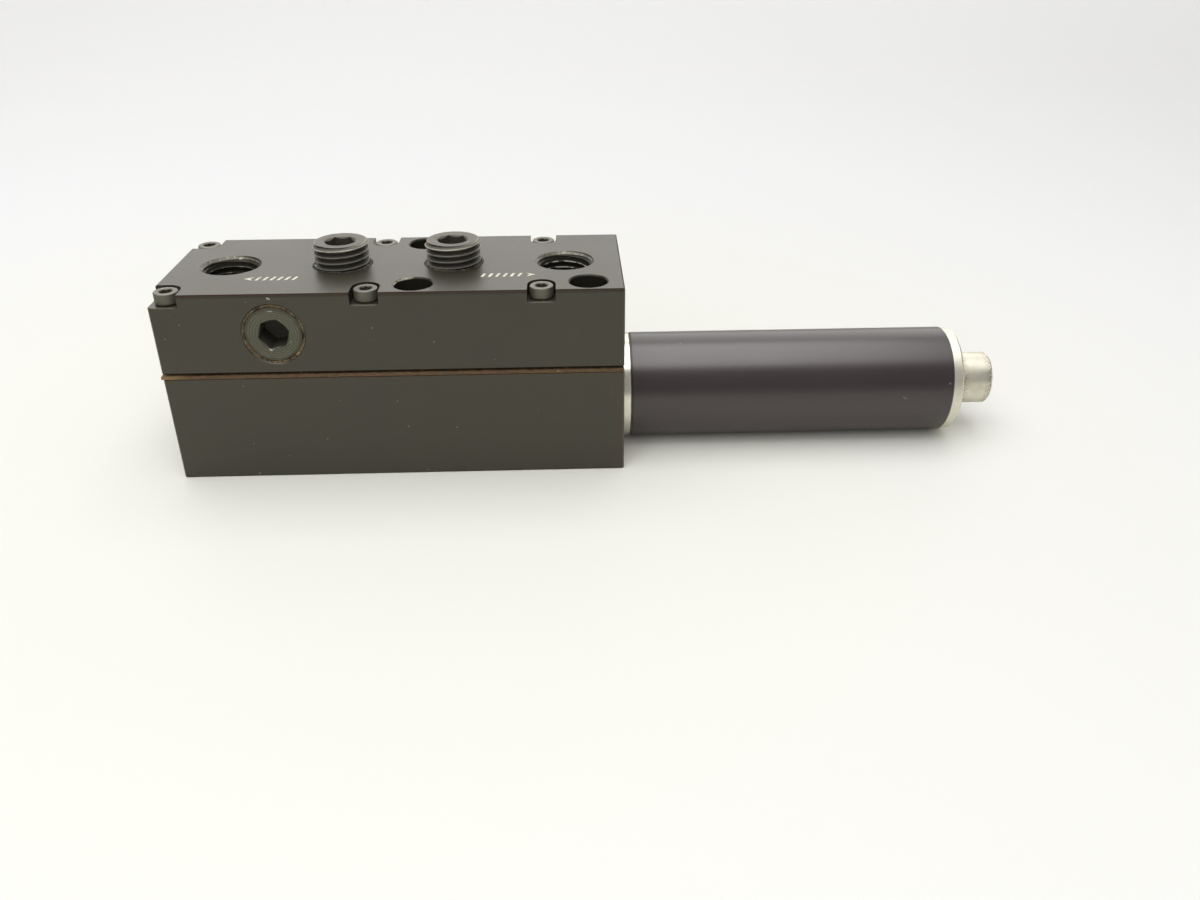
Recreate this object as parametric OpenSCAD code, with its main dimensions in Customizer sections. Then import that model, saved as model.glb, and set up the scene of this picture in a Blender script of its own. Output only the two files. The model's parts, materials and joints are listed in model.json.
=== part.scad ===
// Multistage vacuum ejector with a straight-through silencer.
// Millimetres, +Z up. The origin is the centre of the block's underside, +X runs
// along the silencer and -Y is the front. Compressed air enters the left end and
// passes through a train of nozzles in the lower block. Each gap between two
// nozzles sucks air down from the plenum in the upper block, and the mixed flow
// leaves through the silencer.

/* [Block] */
// Length of the two blocks
block_l = 105.2; // [104:0.2:130]
// Depth of the two blocks, front to back
block_d = 40.2; // [40:0.2:52]
// Height of the lower block
lower_h = 25.8; // [25.2:0.1:30]
// Height of the upper block
upper_h = 18.9; // [18:0.1:26]
// Chamfer on the outside edges
edge_c = 0.3; // [0.2:0.05:0.8]

/* [Gasket] */
// Thickness of the fibre gasket
gasket_t = 1.2; // [0.6:0.1:2]
// How far it stands out at the left end
gasket_left = 0.4; // [0:0.05:0.8]
// How far it stands out at the front and back
gasket_side = 0.12; // [0:0.02:0.4]
// How far it stays back at the right end, clear of the silencer flange
gasket_right = 0.1; // [0.05:0.05:0.5]

/* [Ports] */
// Centre of the first vacuum port, from the left end
port_first = 13.3; // [12.5:0.1:14]
// Distance from one vacuum port to the next
port_pitch = 26.2; // [24:0.1:26.4]
// Radius of a port's tapped wall
port_r = 6.4; // [5.6:0.1:6.6]
// Radius of a vacuum port's chamfered mouth
port_mouth_r = 7.05; // [6.8:0.05:7.4]
// Centre of the front port, from the left end
front_port_x = 26.5; // [24:0.1:27]
// Height of the front port above the underside of the upper block
front_port_z = 9.4; // [9:0.1:11]
// Depth of the front port's tapped wall
front_port_depth = 11.5; // [11:0.1:12]
// Radius of the front port's chamfered mouth
front_mouth_r = 7.25; // [6.8:0.05:7.6]
// Radius of the air inlet's tapped wall
inlet_r = 5.1; // [4:0.1:6]

/* [Socket plugs] */
// Length of a socket plug
plug_l = 11.4; // [9:0.1:12]
// How far the two top plugs stand above the block
plug_proud = 5.6; // [3:0.1:7]
// How far the front plug lies below its face
plug_sunk = 0.1; // [0:0.05:1]
// Radius of a plug's thread at the raised end
plug_crest_r = 6.56; // [6.4:0.02:6.8]
// Radius of a plug's end face
plug_face_r = 6.1; // [4.5:0.1:6.2]
// Width across flats of a plug's hexagon socket
plug_socket_af = 6.35; // [5:0.05:7]
// Depth of the hexagon socket
plug_socket_depth = 6; // [4:0.1:7]
// Turn of the two top plugs' sockets, in degrees
plug_turn = [0, -8.5]; // [-30:0.5:30]
// Turn of the front plug's socket, in degrees
front_plug_turn = 13; // [-30:0.5:30]

/* [Cover screws] */
// Places of the screws along the block, from the left end
screw_x = [3.4, 47.4, 86.6]; // [3:0.1:100]
// Distance of the screws from the front and back faces
screw_edge = 3.5; // [3.2:0.1:3.8]
// Thread radius of a screw
screw_r = 1.5; // [1:0.1:1.6]
// Length of a screw under its head
screw_l = 25; // [22:1:28]
// Radius of a screw head
screw_head_r = 2.7; // [2:0.05:2.9]
// Height of a screw head
screw_head_h = 2.7; // [2:0.1:3]
// Width across flats of a screw's socket
screw_socket_af = 2.5; // [1.5:0.1:3]
// Depth of a screw's notch
notch_depth = 2.8; // [2:0.1:4]
// Radius of the cutter that makes a notch
notch_r = 3.2; // [3:0.05:3.5]
// How far a notch reaches in from its face
notch_reach = 7; // [6.8:0.1:7.5]

/* [Mounting holes] */
// Place of the middle pair along the block, from the left end
mount_x = 57.8; // [55:0.1:60]
// Distance from the middle pair to the right-hand hole
mount_pitch = 39.4; // [36:0.1:40]
// Distance of the holes from the front and back faces
mount_edge = 5.4; // [5.2:0.1:6.5]
// Radius of a hole
mount_r = 2.75; // [2:0.05:3]
// Radius of its counterbore
counterbore_r = 4.3; // [3.5:0.05:4.6]
// Depth of its counterbore
counterbore_depth = 5.5; // [4:0.1:10]

/* [Nozzle train] */
// Height of the nozzle axis
axis_z = 13.2; // [13.1:0.1:14]
// Radius of the bore that holds the nozzles
train_r = 7; // [6.5:0.1:7.5]
// Length of the supply nozzle's body
supply_l = 11; // [10:0.5:12]
// Length of an inner nozzle's body
nozzle_l = 9; // [8:0.5:9]
// Length of each suction chamber
chamber_l = 14; // [13:0.5:14]
// Width of each suction chamber
chamber_w = 13; // [12.4:0.2:13.4]

/* [Silencer] */
// Radius of the tube and of the front flange
tube_r = 13; // [12:0.1:13]
// Wall thickness of the tube
tube_wall = 1.5; // [1:0.1:2]
// Length of the tube
tube_l = 78.8; // [50:0.1:160]
// Thickness of the front flange
flange_t = 2.3; // [2:0.1:5]
// Thickness of the end disc
end_disc_t = 2.5; // [2:0.1:5]
// Radius of the end disc
end_disc_r = 12.7; // [11.8:0.1:13]
// Length of the outlet stub
stub_l = 9.6; // [5:0.1:20]
// Radius of the outlet stub
stub_r = 6.4; // [6:0.1:8]
// Radius of the outlet
outlet_r = 5; // [4:0.1:5.2]
// Outer radius of the perforated core
core_r = 6.6; // [6.2:0.1:8]
// Rows of holes along the core
core_rows = 9; // [3:1:12]

/* [Hidden] */
$fn = 72;
cut = 0.5; // overrun of a cutting shape past the face it opens

upper_z = lower_h + gasket_t;
top_z = upper_z + upper_h;

// Plenum: a milled pocket, as wide in the gasket as in the upper block
plenum_l = block_l - 11;
plenum_w = 17;
plenum_h = 9;
corner_r = 4;

// Valve plate: it drops into a recess in the lower block, and the gasket holds its rim
plate_l = plenum_l + 2;
plate_w = plenum_w + 3;
plate_t = 1.5;
plate_z = lower_h - plate_t;

tapped_depth = 9;
clearance = 0.2;

// Sockets
plug_lead_in = [0.3, 0.75]; // of a sunk plug and of one that stands proud
drill_point = 1.2;
screw_socket_depth = 1.6;

// Nozzle train, in distances from the left end
inlet_depth = 12;
spigot_depth = 10;
chamber_1 = inlet_depth + supply_l;
nozzle_2 = chamber_1 + chamber_l;
chamber_2 = nozzle_2 + nozzle_l;
nozzle_3 = chamber_2 + chamber_l;
chamber_3 = nozzle_3 + nozzle_l;
diffuser = chamber_3 + chamber_l;
train_end = block_l - spigot_depth;
chambers = [chamber_1, chamber_2, chamber_3];

// Seals on the nozzles
seal_r = 0.8;
seal_ring_r = train_r - seal_r;
seal_starts = [inlet_depth + 2.5, nozzle_2 + 3.4, nozzle_3 + 3.4, diffuser + 3.4];
seal_groove = 2.2;

// Flap valves: rubber umbrellas that hang under the valve plate
flap_r = 6;
flap_stem_r = 1.25;
flap_port_r = 1.3;
flap_port_ring = 3.8;

// Silencer, in distances from the left end
spigot_r = 8.5;
bore_in_r = 5.6;
register_l = 6;
register_r = tube_r - tube_wall;
seat_depth = 3;
tube_start = block_l + flange_t;
tube_end = tube_start + tube_l;
disc_end = tube_end + end_disc_t;
stub_end = disc_end + stub_l;
core_wall = 0.7;
perforation_r = 1;
fine_c = 0.3;

SCREWS = [for (i = [1 : 2 * len(screw_x)]) str("cover_screw_", i)];
SEALS = [for (i = [1 : len(seal_starts)]) str("nozzle_seal_", i)];
FLAPS = ["flap_valve_1", "flap_valve_2"];

// ---- Places ----

function port_x(i) = port_first + i * port_pitch - block_l / 2;
function screw_at(i) = let (n = len(screw_x), back = i > n) [
    screw_x[(i - 1) % n] - block_l / 2,
    (back ? 1 : -1) * (block_d / 2 - screw_edge)];
mount_at = [
    for (p = [[mount_x, -1], [mount_x, 1], [mount_x + mount_pitch, -1]])
        [p[0] - block_l / 2, p[1] * (block_d / 2 - mount_edge)]];

// Stands what follows on the nozzle axis, with X counted from the block's left end
module on_axis() {
    translate([-block_l / 2, 0, axis_z]) children();
}

// ---- Shared shapes ----

// A box on the XY plane with every outside edge chamfered
module chamfered_block(l, d, h, c) {
    module cut_corners(a, b) {
        polygon([
            [-a / 2 + c, -b / 2], [a / 2 - c, -b / 2], [a / 2, -b / 2 + c], [a / 2, b / 2 - c],
            [a / 2 - c, b / 2], [-a / 2 + c, b / 2], [-a / 2, b / 2 - c], [-a / 2, -b / 2 + c]]);
    }
    translate([0, 0, h / 2]) intersection() {
        linear_extrude(h, center = true) cut_corners(l, d);
        rotate([90, 0, 0]) linear_extrude(d, center = true) cut_corners(l, h);
        rotate([90, 0, 90]) linear_extrude(l, center = true) cut_corners(d, h);
    }
}

// A rectangle whose corners have the cutter's radius
module milled_outline(l, w, r) {
    square([l - 2 * r, w], center = true);
    square([l, w - 2 * r], center = true);
    for (x = [-1, 1], y = [-1, 1]) translate([x * (l / 2 - r), y * (w / 2 - r)]) circle(r);
}

// A turned piece along +X from a profile of [radius, distance from the left end]
module turned(profile) {
    rotate([0, 90, 0]) rotate_extrude() polygon(profile);
}

// A hexagon prism below the XY plane, measured across its flats
module hexagon(across_flats, depth) {
    translate([0, 0, -depth]) cylinder(h = depth + cut, r = across_flats / sqrt(3), $fn = 6);
}

// The hole of a tapped port: a straight wall below a chamfered mouth at z = 0
module port_hole(r, mouth_r, depth) {
    lip = mouth_r - r;
    translate([0, 0, -depth]) cylinder(h = depth + cut, r = r);
    translate([0, 0, -lip]) cylinder(h = lip, r1 = r, r2 = mouth_r);
    cylinder(h = cut, r = mouth_r);
}

// A taper plug with its end face at z = proud and the block's surface at z = 0
module socket_plug(proud, turn) {
    foot = proud - plug_l;
    seated = min(proud - 0.4, -(port_mouth_r - port_r));
    crest_r = proud > 1 ? plug_crest_r : port_r;
    rim = proud > 1 ? 0.6 : 0.3;
    lead_in = plug_lead_in[proud > 1 ? 1 : 0];
    difference() {
        rotate_extrude() polygon([
            [0, foot], [port_r - 0.8, foot], [port_r, foot + 0.9], [port_r, seated],
            [crest_r, proud - rim], [plug_face_r, proud], [0, proud]]);
        translate([0, 0, proud]) rotate([0, 0, turn]) {
            hexagon(plug_socket_af, plug_socket_depth);
            translate([0, 0, -lead_in])
                cylinder(h = lead_in, r1 = plug_socket_af / 2, r2 = plug_socket_af / 2 + lead_in);
            translate([0, 0, -plug_socket_depth - drill_point])
                cylinder(h = drill_point + 0.01, r1 = 0, r2 = plug_socket_af / 2 - 0.1);
        }
    }
}

// ---- Cuts in the blocks ----

// The milled notch round a screw head, open to the outside faces it is next to
module screw_notch(i) {
    p = screw_at(i);
    side = sign(p[1]);
    out = notch_reach - notch_r + cut;
    cy = side * (block_d / 2 - notch_reach + notch_r);
    left = p[0] + block_l / 2 + cut;
    translate([0, 0, top_z - notch_depth]) linear_extrude(notch_depth + cut) {
        translate([p[0], cy]) circle(notch_r);
        translate([p[0] - notch_r, side > 0 ? cy : cy - out]) square([2 * notch_r, out]);
        if (left < 2 * notch_r)
            translate([p[0] - left, side > 0 ? cy - notch_r : cy - out]) square([left, out + notch_r]);
    }
}

// The holes that run down through both blocks, up to the level z = top
module through_holes(r, top) {
    for (p = mount_at) translate([p[0], p[1], -cut]) cylinder(h = top + 2 * cut, r = r);
}

// ---- Housing ----

module lower_block() {
    color([0.16, 0.155, 0.14]) difference() {
        chamfered_block(block_l, block_d, lower_h, edge_c);
        translate([0, 0, plate_z]) linear_extrude(plate_t + cut) milled_outline(plate_l, plate_w, corner_r);
        for (x = chambers)
            translate([x + chamber_l / 2 - block_l / 2, 0, axis_z])
                linear_extrude(plate_z - axis_z + cut) milled_outline(chamber_l, chamber_w, 3);
        on_axis() {
            turned([[0, inlet_depth], [train_r, inlet_depth], [train_r, train_end + cut], [0, train_end + cut]]);
            turned([[0, train_end], [spigot_r, train_end], [spigot_r, block_l + cut], [0, block_l + cut]]);
            rotate([0, -90, 0]) port_hole(inlet_r, inlet_r + 0.7, inlet_depth + cut);
        }
        for (i = [1 : len(SCREWS)])
            translate(concat(screw_at(i), lower_h - tapped_depth)) cylinder(h = tapped_depth + cut, r = screw_r);
        through_holes(mount_r, lower_h);
    }
}

module gasket() {
    left = -block_l / 2 - gasket_left;
    right = block_l / 2 - gasket_right;
    depth = block_d + 2 * gasket_side;
    color([0.27, 0.17, 0.11]) translate([0, 0, lower_h]) linear_extrude(gasket_t) difference() {
        translate([left, -depth / 2]) square([right - left, depth]);
        milled_outline(plenum_l, plenum_w, corner_r);
        for (i = [1 : len(SCREWS)]) translate(screw_at(i)) circle(screw_r + clearance);
        for (p = mount_at) translate(p) circle(mount_r + clearance);
    }
}

module upper_block() {
    sink = 0.35;
    color([0.16, 0.155, 0.14]) difference() {
        translate([0, 0, upper_z]) chamfered_block(block_l, block_d, upper_h, edge_c);
        translate([0, 0, upper_z - cut]) linear_extrude(plenum_h + cut)
            milled_outline(plenum_l, plenum_w, corner_r);
        for (i = [0 : 3])
            translate([port_x(i), 0, top_z]) port_hole(port_r, port_mouth_r, upper_h - plenum_h + cut);
        translate([front_port_x - block_l / 2, -block_d / 2, upper_z + front_port_z]) rotate([90, 0, 0]) {
            port_hole(port_r, front_mouth_r, front_port_depth);
            translate([0, 0, -block_d / 2]) cylinder(h = block_d / 2, r = port_r - 2);
        }
        for (i = [1 : len(SCREWS)]) {
            screw_notch(i);
            translate(concat(screw_at(i), upper_z - cut)) cylinder(h = upper_h, r = screw_r + clearance);
        }
        through_holes(mount_r, top_z);
        for (p = mount_at) translate([p[0], p[1], top_z]) {
            translate([0, 0, -counterbore_depth]) cylinder(h = counterbore_depth + cut, r = counterbore_r);
            translate([0, 0, -sink]) cylinder(h = sink + cut, r1 = counterbore_r, r2 = counterbore_r + sink + cut);
        }
    }
}

// The plate between the plenum and the chambers. The first chamber has open holes,
// and each of the others a ring of holes round the stem of its flap valve.
module valve_plate() {
    color([0.75, 0.76, 0.78]) translate([0, 0, plate_z]) linear_extrude(plate_t) difference() {
        milled_outline(plate_l, plate_w, corner_r);
        for (dx = [-4.5, 0, 4.5]) translate([chamber_1 + chamber_l / 2 - block_l / 2 + dx, 0]) circle(1.9);
        for (x = [chamber_2, chamber_3]) translate([x + chamber_l / 2 - block_l / 2, 0]) {
            circle(flap_stem_r);
            for (a = [0 : 60 : 300]) rotate(a) translate([flap_port_ring, 0]) circle(flap_port_r);
        }
    }
}

module flap_valve(i) {
    x = [chamber_2, chamber_3][i - 1] + chamber_l / 2 - block_l / 2;
    color([0.09, 0.09, 0.09]) translate([x, 0, plate_z]) rotate_extrude() polygon([
        [0, -1.5], [2.2, -1.5], [flap_r, -0.5], [flap_r, 0], [flap_stem_r, 0], [flap_stem_r, plate_t],
        [flap_stem_r + 0.7, plate_t], [flap_stem_r, plate_t + 2], [0, plate_t + 2]]);
}

// ---- Plugs and screws ----

module top_plug(i) {
    color([0.3, 0.31, 0.3]) translate([port_x(i), 0, top_z]) socket_plug(plug_proud, plug_turn[i - 1]);
}

module front_plug() {
    color([0.34, 0.36, 0.34])
        translate([front_port_x - block_l / 2, -block_d / 2, upper_z + front_port_z])
            rotate([90, 0, 0]) socket_plug(-plug_sunk, front_plug_turn);
}

module cover_screw(i) {
    seat = top_z - notch_depth;
    color([0.36, 0.36, 0.34]) translate(concat(screw_at(i), seat)) difference() {
        union() {
            rotate_extrude() polygon([
                [0, 0], [screw_head_r, 0], [screw_head_r, screw_head_h - fine_c],
                [screw_head_r - fine_c, screw_head_h], [0, screw_head_h]]);
            translate([0, 0, -screw_l]) cylinder(h = screw_l + fine_c, r = screw_r);
        }
        translate([0, 0, screw_head_h]) hexagon(screw_socket_af, screw_socket_depth);
    }
}

// ---- Nozzle train ----

// A nozzle pressed into its wall: a body from a to b with a seal groove, a nose as
// far as tip, and a way through it of [radius, distance from the left end] points
module nozzle(a, b, tip, nose_r, tip_r, groove, way) {
    edge = 0.5;
    body = [
        [train_r - edge, a], [train_r, a + edge], [train_r, groove], [train_r - 2 * seal_r, groove],
        [train_r - 2 * seal_r, groove + seal_groove], [train_r, groove + seal_groove],
        [train_r, b - edge], [train_r - edge, b]];
    nose = tip > b ? [[nose_r, b], [tip_r, tip]] : [];
    color([0.78, 0.62, 0.3]) on_axis() turned(concat(body, nose, way));
}

module supply_nozzle() {
    a = inlet_depth;
    b = chamber_1;
    nozzle(a, b, b + 5, 4, 1.8, seal_starts[0],
        [[1.1, b + 5], [0.8, b + 3], [3.4, b - 4], [3.4, a]]);
}

module second_nozzle() {
    a = nozzle_2;
    b = chamber_2;
    nozzle(a, b, b + 4, 4.2, 2.8, seal_starts[1], [[2, b + 4], [1.6, a + 5], [3.6, a]]);
}

module third_nozzle() {
    a = nozzle_3;
    b = chamber_3;
    nozzle(a, b, b + 4, 4.8, 3.8, seal_starts[2], [[3, b + 4], [2.5, a + 5], [4.4, a]]);
}

module diffuser_nozzle() {
    a = diffuser;
    b = train_end;
    nozzle(a, b, b, 0, 0, seal_starts[3], [[bore_in_r - 0.3, b], [3.5, a + 5], [5, a]]);
}

module nozzle_seal(i) {
    color([0.1, 0.1, 0.1]) on_axis() translate([seal_starts[i - 1] + seal_groove / 2, 0, 0])
        rotate([0, 90, 0]) rotate_extrude() translate([seal_ring_r, 0]) circle(seal_r, $fn = 32);
}

// ---- Silencer ----

module silencer_front_cap() {
    face = tube_start + register_l;
    color([0.86, 0.86, 0.84]) on_axis() turned([
        [bore_in_r, train_end], [spigot_r - 0.6, train_end], [spigot_r, train_end + 0.6], [spigot_r, block_l],
        [tube_r - fine_c, block_l], [tube_r, block_l + fine_c], [tube_r, tube_start - fine_c],
        [tube_r - fine_c, tube_start], [register_r, tube_start], [register_r, face],
        [core_r, face], [core_r, face - seat_depth], [bore_in_r, face - seat_depth]]);
}

module silencer_tube() {
    color([0.13, 0.11, 0.13]) on_axis() turned([
        [register_r, tube_start], [tube_r - fine_c, tube_start], [tube_r, tube_start + fine_c],
        [tube_r, tube_end - fine_c], [tube_r - fine_c, tube_end], [register_r, tube_end]]);
}

// The perforated core: each row has two cross-drilled holes, turned by half a step
// from the row before
module silencer_core() {
    a = tube_start + register_l - seat_depth;
    b = tube_end - register_l + seat_depth;
    step = (b - a - 2 * seat_depth) / core_rows;
    color([0.6, 0.61, 0.62]) on_axis() difference() {
        turned([[core_r - core_wall, a], [core_r, a], [core_r, b], [core_r - core_wall, b]]);
        for (row = [0 : core_rows - 1], quarter = [0, 90])
            translate([a + seat_depth + (row + 0.5) * step, 0, 0])
                rotate([quarter + 45 * (row % 2), 0, 0])
                    cylinder(h = 2 * core_r + cut, r = perforation_r, center = true, $fn = 24);
    }
}

module silencer_foam() {
    a = tube_start + register_l;
    b = tube_end - register_l;
    color([0.45, 0.45, 0.42]) on_axis() turned([[core_r, a], [register_r, a], [register_r, b], [core_r, b]]);
}

module silencer_end_cap() {
    face = tube_end - register_l;
    color([0.86, 0.86, 0.82]) on_axis() turned([
        [core_r, face], [register_r, face], [register_r, tube_end], [end_disc_r, tube_end],
        [end_disc_r, disc_end - 0.5], [end_disc_r - 0.5, disc_end], [stub_r, disc_end],
        [stub_r, stub_end - 0.5], [stub_r - 0.5, stub_end], [outlet_r, stub_end],
        [outlet_r, face + seat_depth], [core_r, face + seat_depth]]);
}

// ---- Assembly ----

lower_block();
gasket();
upper_block();
valve_plate();
top_plug(1);  // top_plug_left
top_plug(2);  // top_plug_right
front_plug();
supply_nozzle();
second_nozzle();
third_nozzle();
diffuser_nozzle();
silencer_front_cap();
silencer_tube();
silencer_core();
silencer_foam();
silencer_end_cap();
for (i = [1 : len(SCREWS)]) cover_screw(i);
for (i = [1 : len(SEALS)]) nozzle_seal(i);
for (i = [1 : len(FLAPS)]) flap_valve(i);
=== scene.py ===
# %% [markdown]
# # A vacuum ejector in Blender
# A vacuum ejector makes suction out of compressed air. This one is a split block of
# black anodised aluminium with a silencer on its right end. The CAD model holds every
# piece at its real size, and this script gives the pieces their looks. We start by
# loading the CAD model as a frame that is never moved.

import json
import math

import bmesh
import bpy
import numpy as np
from mathutils import Matrix, Vector


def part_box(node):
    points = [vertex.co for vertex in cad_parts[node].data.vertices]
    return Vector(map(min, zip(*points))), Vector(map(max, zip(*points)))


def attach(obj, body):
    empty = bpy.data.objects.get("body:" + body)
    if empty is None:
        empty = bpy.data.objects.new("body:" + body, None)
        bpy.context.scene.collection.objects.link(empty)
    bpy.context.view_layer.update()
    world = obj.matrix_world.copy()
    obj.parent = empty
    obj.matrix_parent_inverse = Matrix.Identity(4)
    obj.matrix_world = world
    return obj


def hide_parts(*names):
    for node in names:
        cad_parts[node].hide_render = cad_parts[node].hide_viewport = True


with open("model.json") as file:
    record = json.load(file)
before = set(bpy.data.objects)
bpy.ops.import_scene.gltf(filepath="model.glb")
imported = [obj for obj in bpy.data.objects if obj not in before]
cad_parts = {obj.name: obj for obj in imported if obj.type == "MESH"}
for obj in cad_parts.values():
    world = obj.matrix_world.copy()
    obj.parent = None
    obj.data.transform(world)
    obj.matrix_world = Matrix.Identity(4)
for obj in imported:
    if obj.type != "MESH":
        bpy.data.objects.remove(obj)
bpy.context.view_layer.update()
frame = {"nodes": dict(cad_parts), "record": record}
nodes = frame["nodes"]
print("CAD nodes:", len(nodes))

# %% [markdown]
# ## Where things are
# Blender works in metres, and a part like this is easier to think about in
# millimetres. Places are read from the frame: a node's box, or a mount of the packed
# record. A mark that lies on a piece is placed by its distance from one of those.

# %% Read the places from the frame
MM = 0.001
mounts = {m["name"]: m for m in frame["record"]["mounts"]}
upper_low, upper_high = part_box("upper_block")
lower_low, lower_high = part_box("lower_block")
top = upper_high.z
front = upper_low.y
left = upper_low.x


def middle(node):
    """The centre of a node's box."""
    low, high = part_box(node)
    return (low + high) / 2


print("block in mm:", [round(v / MM, 1) for v in upper_high - lower_low])

# %% [markdown]
# ## The camera
# The camera comes first, because it decides how much detail each face needs. It stands
# about 22 cm in front of the block and 12 cm above the table, and looks down 29 degrees.
# Its matrix is built from three angles, so that it is easy to see what each one does.

# %% Place the camera
CAMERA_AT = Vector((39.5, -237.5, 125.2)) * MM
PITCH = math.radians(28.88)
YAW = math.radians(1.93)
ROLL = math.radians(-0.26)


def camera_matrix(at, pitch, yaw, roll):
    """World matrix of a camera that looks along +Y, turned right by yaw and down by pitch."""
    level_share = math.cos(pitch)
    ahead = Vector((math.sin(yaw) * level_share, math.cos(yaw) * level_share, -math.sin(pitch)))
    level = ahead.cross(Vector((0, 0, 1))).normalized()
    up = level.cross(ahead)
    right = math.cos(roll) * level + math.sin(roll) * up
    up = math.cos(roll) * up - math.sin(roll) * level
    turn = Matrix((right, up, -ahead)).transposed().to_4x4()
    return Matrix.Translation(at) @ turn


camera_data = bpy.data.cameras.new("camera")
camera_data.lens = 31.04
camera_data.sensor_width = 36
camera_data.clip_start = 1 * MM
camera = bpy.data.objects.new("camera", camera_data)
bpy.context.scene.collection.objects.link(camera)
camera.matrix_world = camera_matrix(CAMERA_AT, PITCH, YAW, ROLL)
bpy.context.scene.camera = camera
print("camera at", [round(v, 3) for v in camera.location])

# %% [markdown]
# ## Helpers for node trees
# A material is a tree of nodes. Making them one by one takes many lines, so `add` makes
# a node and fills its inputs in one call: a socket is wired, and anything else is set as
# a value. Each of the small helpers after it stands for one common step, so a finish can
# be read as a short recipe.

# %% Node helpers


def add(tree, kind, inputs=None, **settings):
    """Adds a node of that kind. inputs maps a socket's name or number to a value or a socket."""
    made = tree.nodes.new(kind)
    for key, value in settings.items():
        setattr(made, key, value)
    for key, value in (inputs or {}).items():
        if isinstance(value, bpy.types.NodeSocket):
            tree.links.new(value, made.inputs[key])
        else:
            made.inputs[key].default_value = value
    return made


def calc(tree, operation, *values, clamp=False):
    """One arithmetic step on numbers or sockets. Returns the result's socket."""
    inputs = dict(enumerate(values))
    return add(tree, "ShaderNodeMath", inputs, operation=operation, use_clamp=clamp).outputs[0]


def times(tree, first, *others):
    """The product of its values."""
    for other in others:
        first = calc(tree, "MULTIPLY", first, other)
    return first


def most(tree, first, *others):
    """The largest of its values."""
    for other in others:
        first = calc(tree, "MAXIMUM", first, other)
    return first


def scaled(tree, value, factor, plus):
    """The value times a factor, plus a number or a socket."""
    return calc(tree, "MULTIPLY_ADD", value, factor, plus)


def vector_calc(tree, operation, *values):
    """One step on vectors. A length, a distance or a dot product comes out as a number."""
    made = add(tree, "ShaderNodeVectorMath", dict(enumerate(values)), operation=operation)
    return made.outputs[1 if operation in ("LENGTH", "DISTANCE", "DOT_PRODUCT") else 0]


def split_up(tree, vector):
    """The x, y and z of a vector."""
    return add(tree, "ShaderNodeSeparateXYZ", {0: vector}).outputs


def place_of(tree):
    """The shaded point in the piece's own coordinates."""
    return add(tree, "ShaderNodeTexCoord").outputs["Object"]


def upward_share(tree):
    """How far a face looks up: 1 for a top, 0 for an upright side and -1 for an underside."""
    return split_up(tree, add(tree, "ShaderNodeNewGeometry").outputs["True Normal"])[2]


def noise(tree, place, scale, detail=2.0):
    """Soft random patches, as a number near 0.5. They get smaller as the scale goes up."""
    return add(tree, "ShaderNodeTexNoise", {"Vector": place, "Scale": scale, "Detail": detail}).outputs[0]


print("node helpers ready")

# %% [markdown]
# Two more kinds of helper deal with masks and colours. A mask is a number from 0 to 1 that
# says where an effect is. Colours are laid over each other through masks, in the order in
# which they came on to the real piece: coat, wear, then dust.

# %% Mask, colour and group helpers


def ramp(tree, value, low, high, start=0.0, end=1.0):
    """A soft step: start below low, end above high."""
    inputs = dict(enumerate((value, low, high, start, end)))
    return add(tree, "ShaderNodeMapRange", inputs, interpolation_type="SMOOTHSTEP").outputs[0]


def thin_line(tree, value, at, inner, outer):
    """1 where the value is within inner of at, fading to 0 at outer."""
    away = calc(tree, "ABSOLUTE", calc(tree, "SUBTRACT", value, at))
    return ramp(tree, away, inner, outer, 1.0, 0.0)


def blend_colour(tree, mask, below, above):
    """Colour below where the mask is 0, colour above where it is 1."""
    return add(tree, "ShaderNodeMix", {0: mask, 6: below, 7: above}, data_type="RGBA").outputs[2]


def lay_over(tree, base, *layers):
    """Lays colours over a base in turn. Each layer is a mask, its strength and a colour."""
    for mask, strength, colour in layers:
        base = blend_colour(tree, mask if strength == 1 else times(tree, mask, strength), base, colour)
    return base


def start_group(name, inputs, outputs):
    """An empty shader group. inputs maps a socket's name to its default, and outputs names numbers.
    Returns the group and the sockets of its two end nodes."""
    group = bpy.data.node_groups.new(name, "ShaderNodeTree")
    for label, value in inputs.items():
        kind = "NodeSocketVector" if isinstance(value, tuple) else "NodeSocketFloat"
        group.interface.new_socket(name=label, in_out="INPUT", socket_type=kind).default_value = value
    for label in outputs:
        group.interface.new_socket(name=label, in_out="OUTPUT", socket_type="NodeSocketFloat")
    return group, group.nodes.new("NodeGroupInput").outputs, group.nodes.new("NodeGroupOutput").inputs


print("mask and colour helpers ready")

# %% [markdown]
# ## Effects shared by several finishes
# Wear, grain and dust come back on almost every piece, so each is a node group that is
# built once. A group only puts out masks and heights. The shader stays in the material.
#
# The first group finds a block's edges. Near an edge two of the three distances to the
# box's faces are small, so the middle one of the three is the distance to the edge. Noise
# makes the worn line wider here and thinner there, as handling does.

# %% Group: worn edges of a box
CHAMFER = (0.26 * MM, 0.34 * MM)
edge_wear, given, result = start_group(
    "edge_wear", {"Low": (0, 0, 0), "High": (1, 1, 1), "Width": 0.5 * MM, "Breakup": 0.6}, ["Mask", "Line"])
place = place_of(edge_wear)
above_low = vector_calc(edge_wear, "SUBTRACT", place, given["Low"])
below_high = vector_calc(edge_wear, "SUBTRACT", given["High"], place)
x, y, z = split_up(edge_wear, vector_calc(edge_wear, "MINIMUM", above_low, below_high))
smaller = calc(edge_wear, "MINIMUM", x, y)
larger = most(edge_wear, x, y)
to_edge = most(edge_wear, smaller, calc(edge_wear, "MINIMUM", larger, z))
patchy = scaled(edge_wear, noise(edge_wear, place, 260.0, 5.0), 2.2, -0.3)
reach = most(edge_wear, times(edge_wear, given["Width"], patchy), 1e-5)
line = ramp(edge_wear, to_edge, 0.0, reach, 1.0, 0.0)
chips = noise(edge_wear, place, 1400.0, 3.0)
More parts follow.
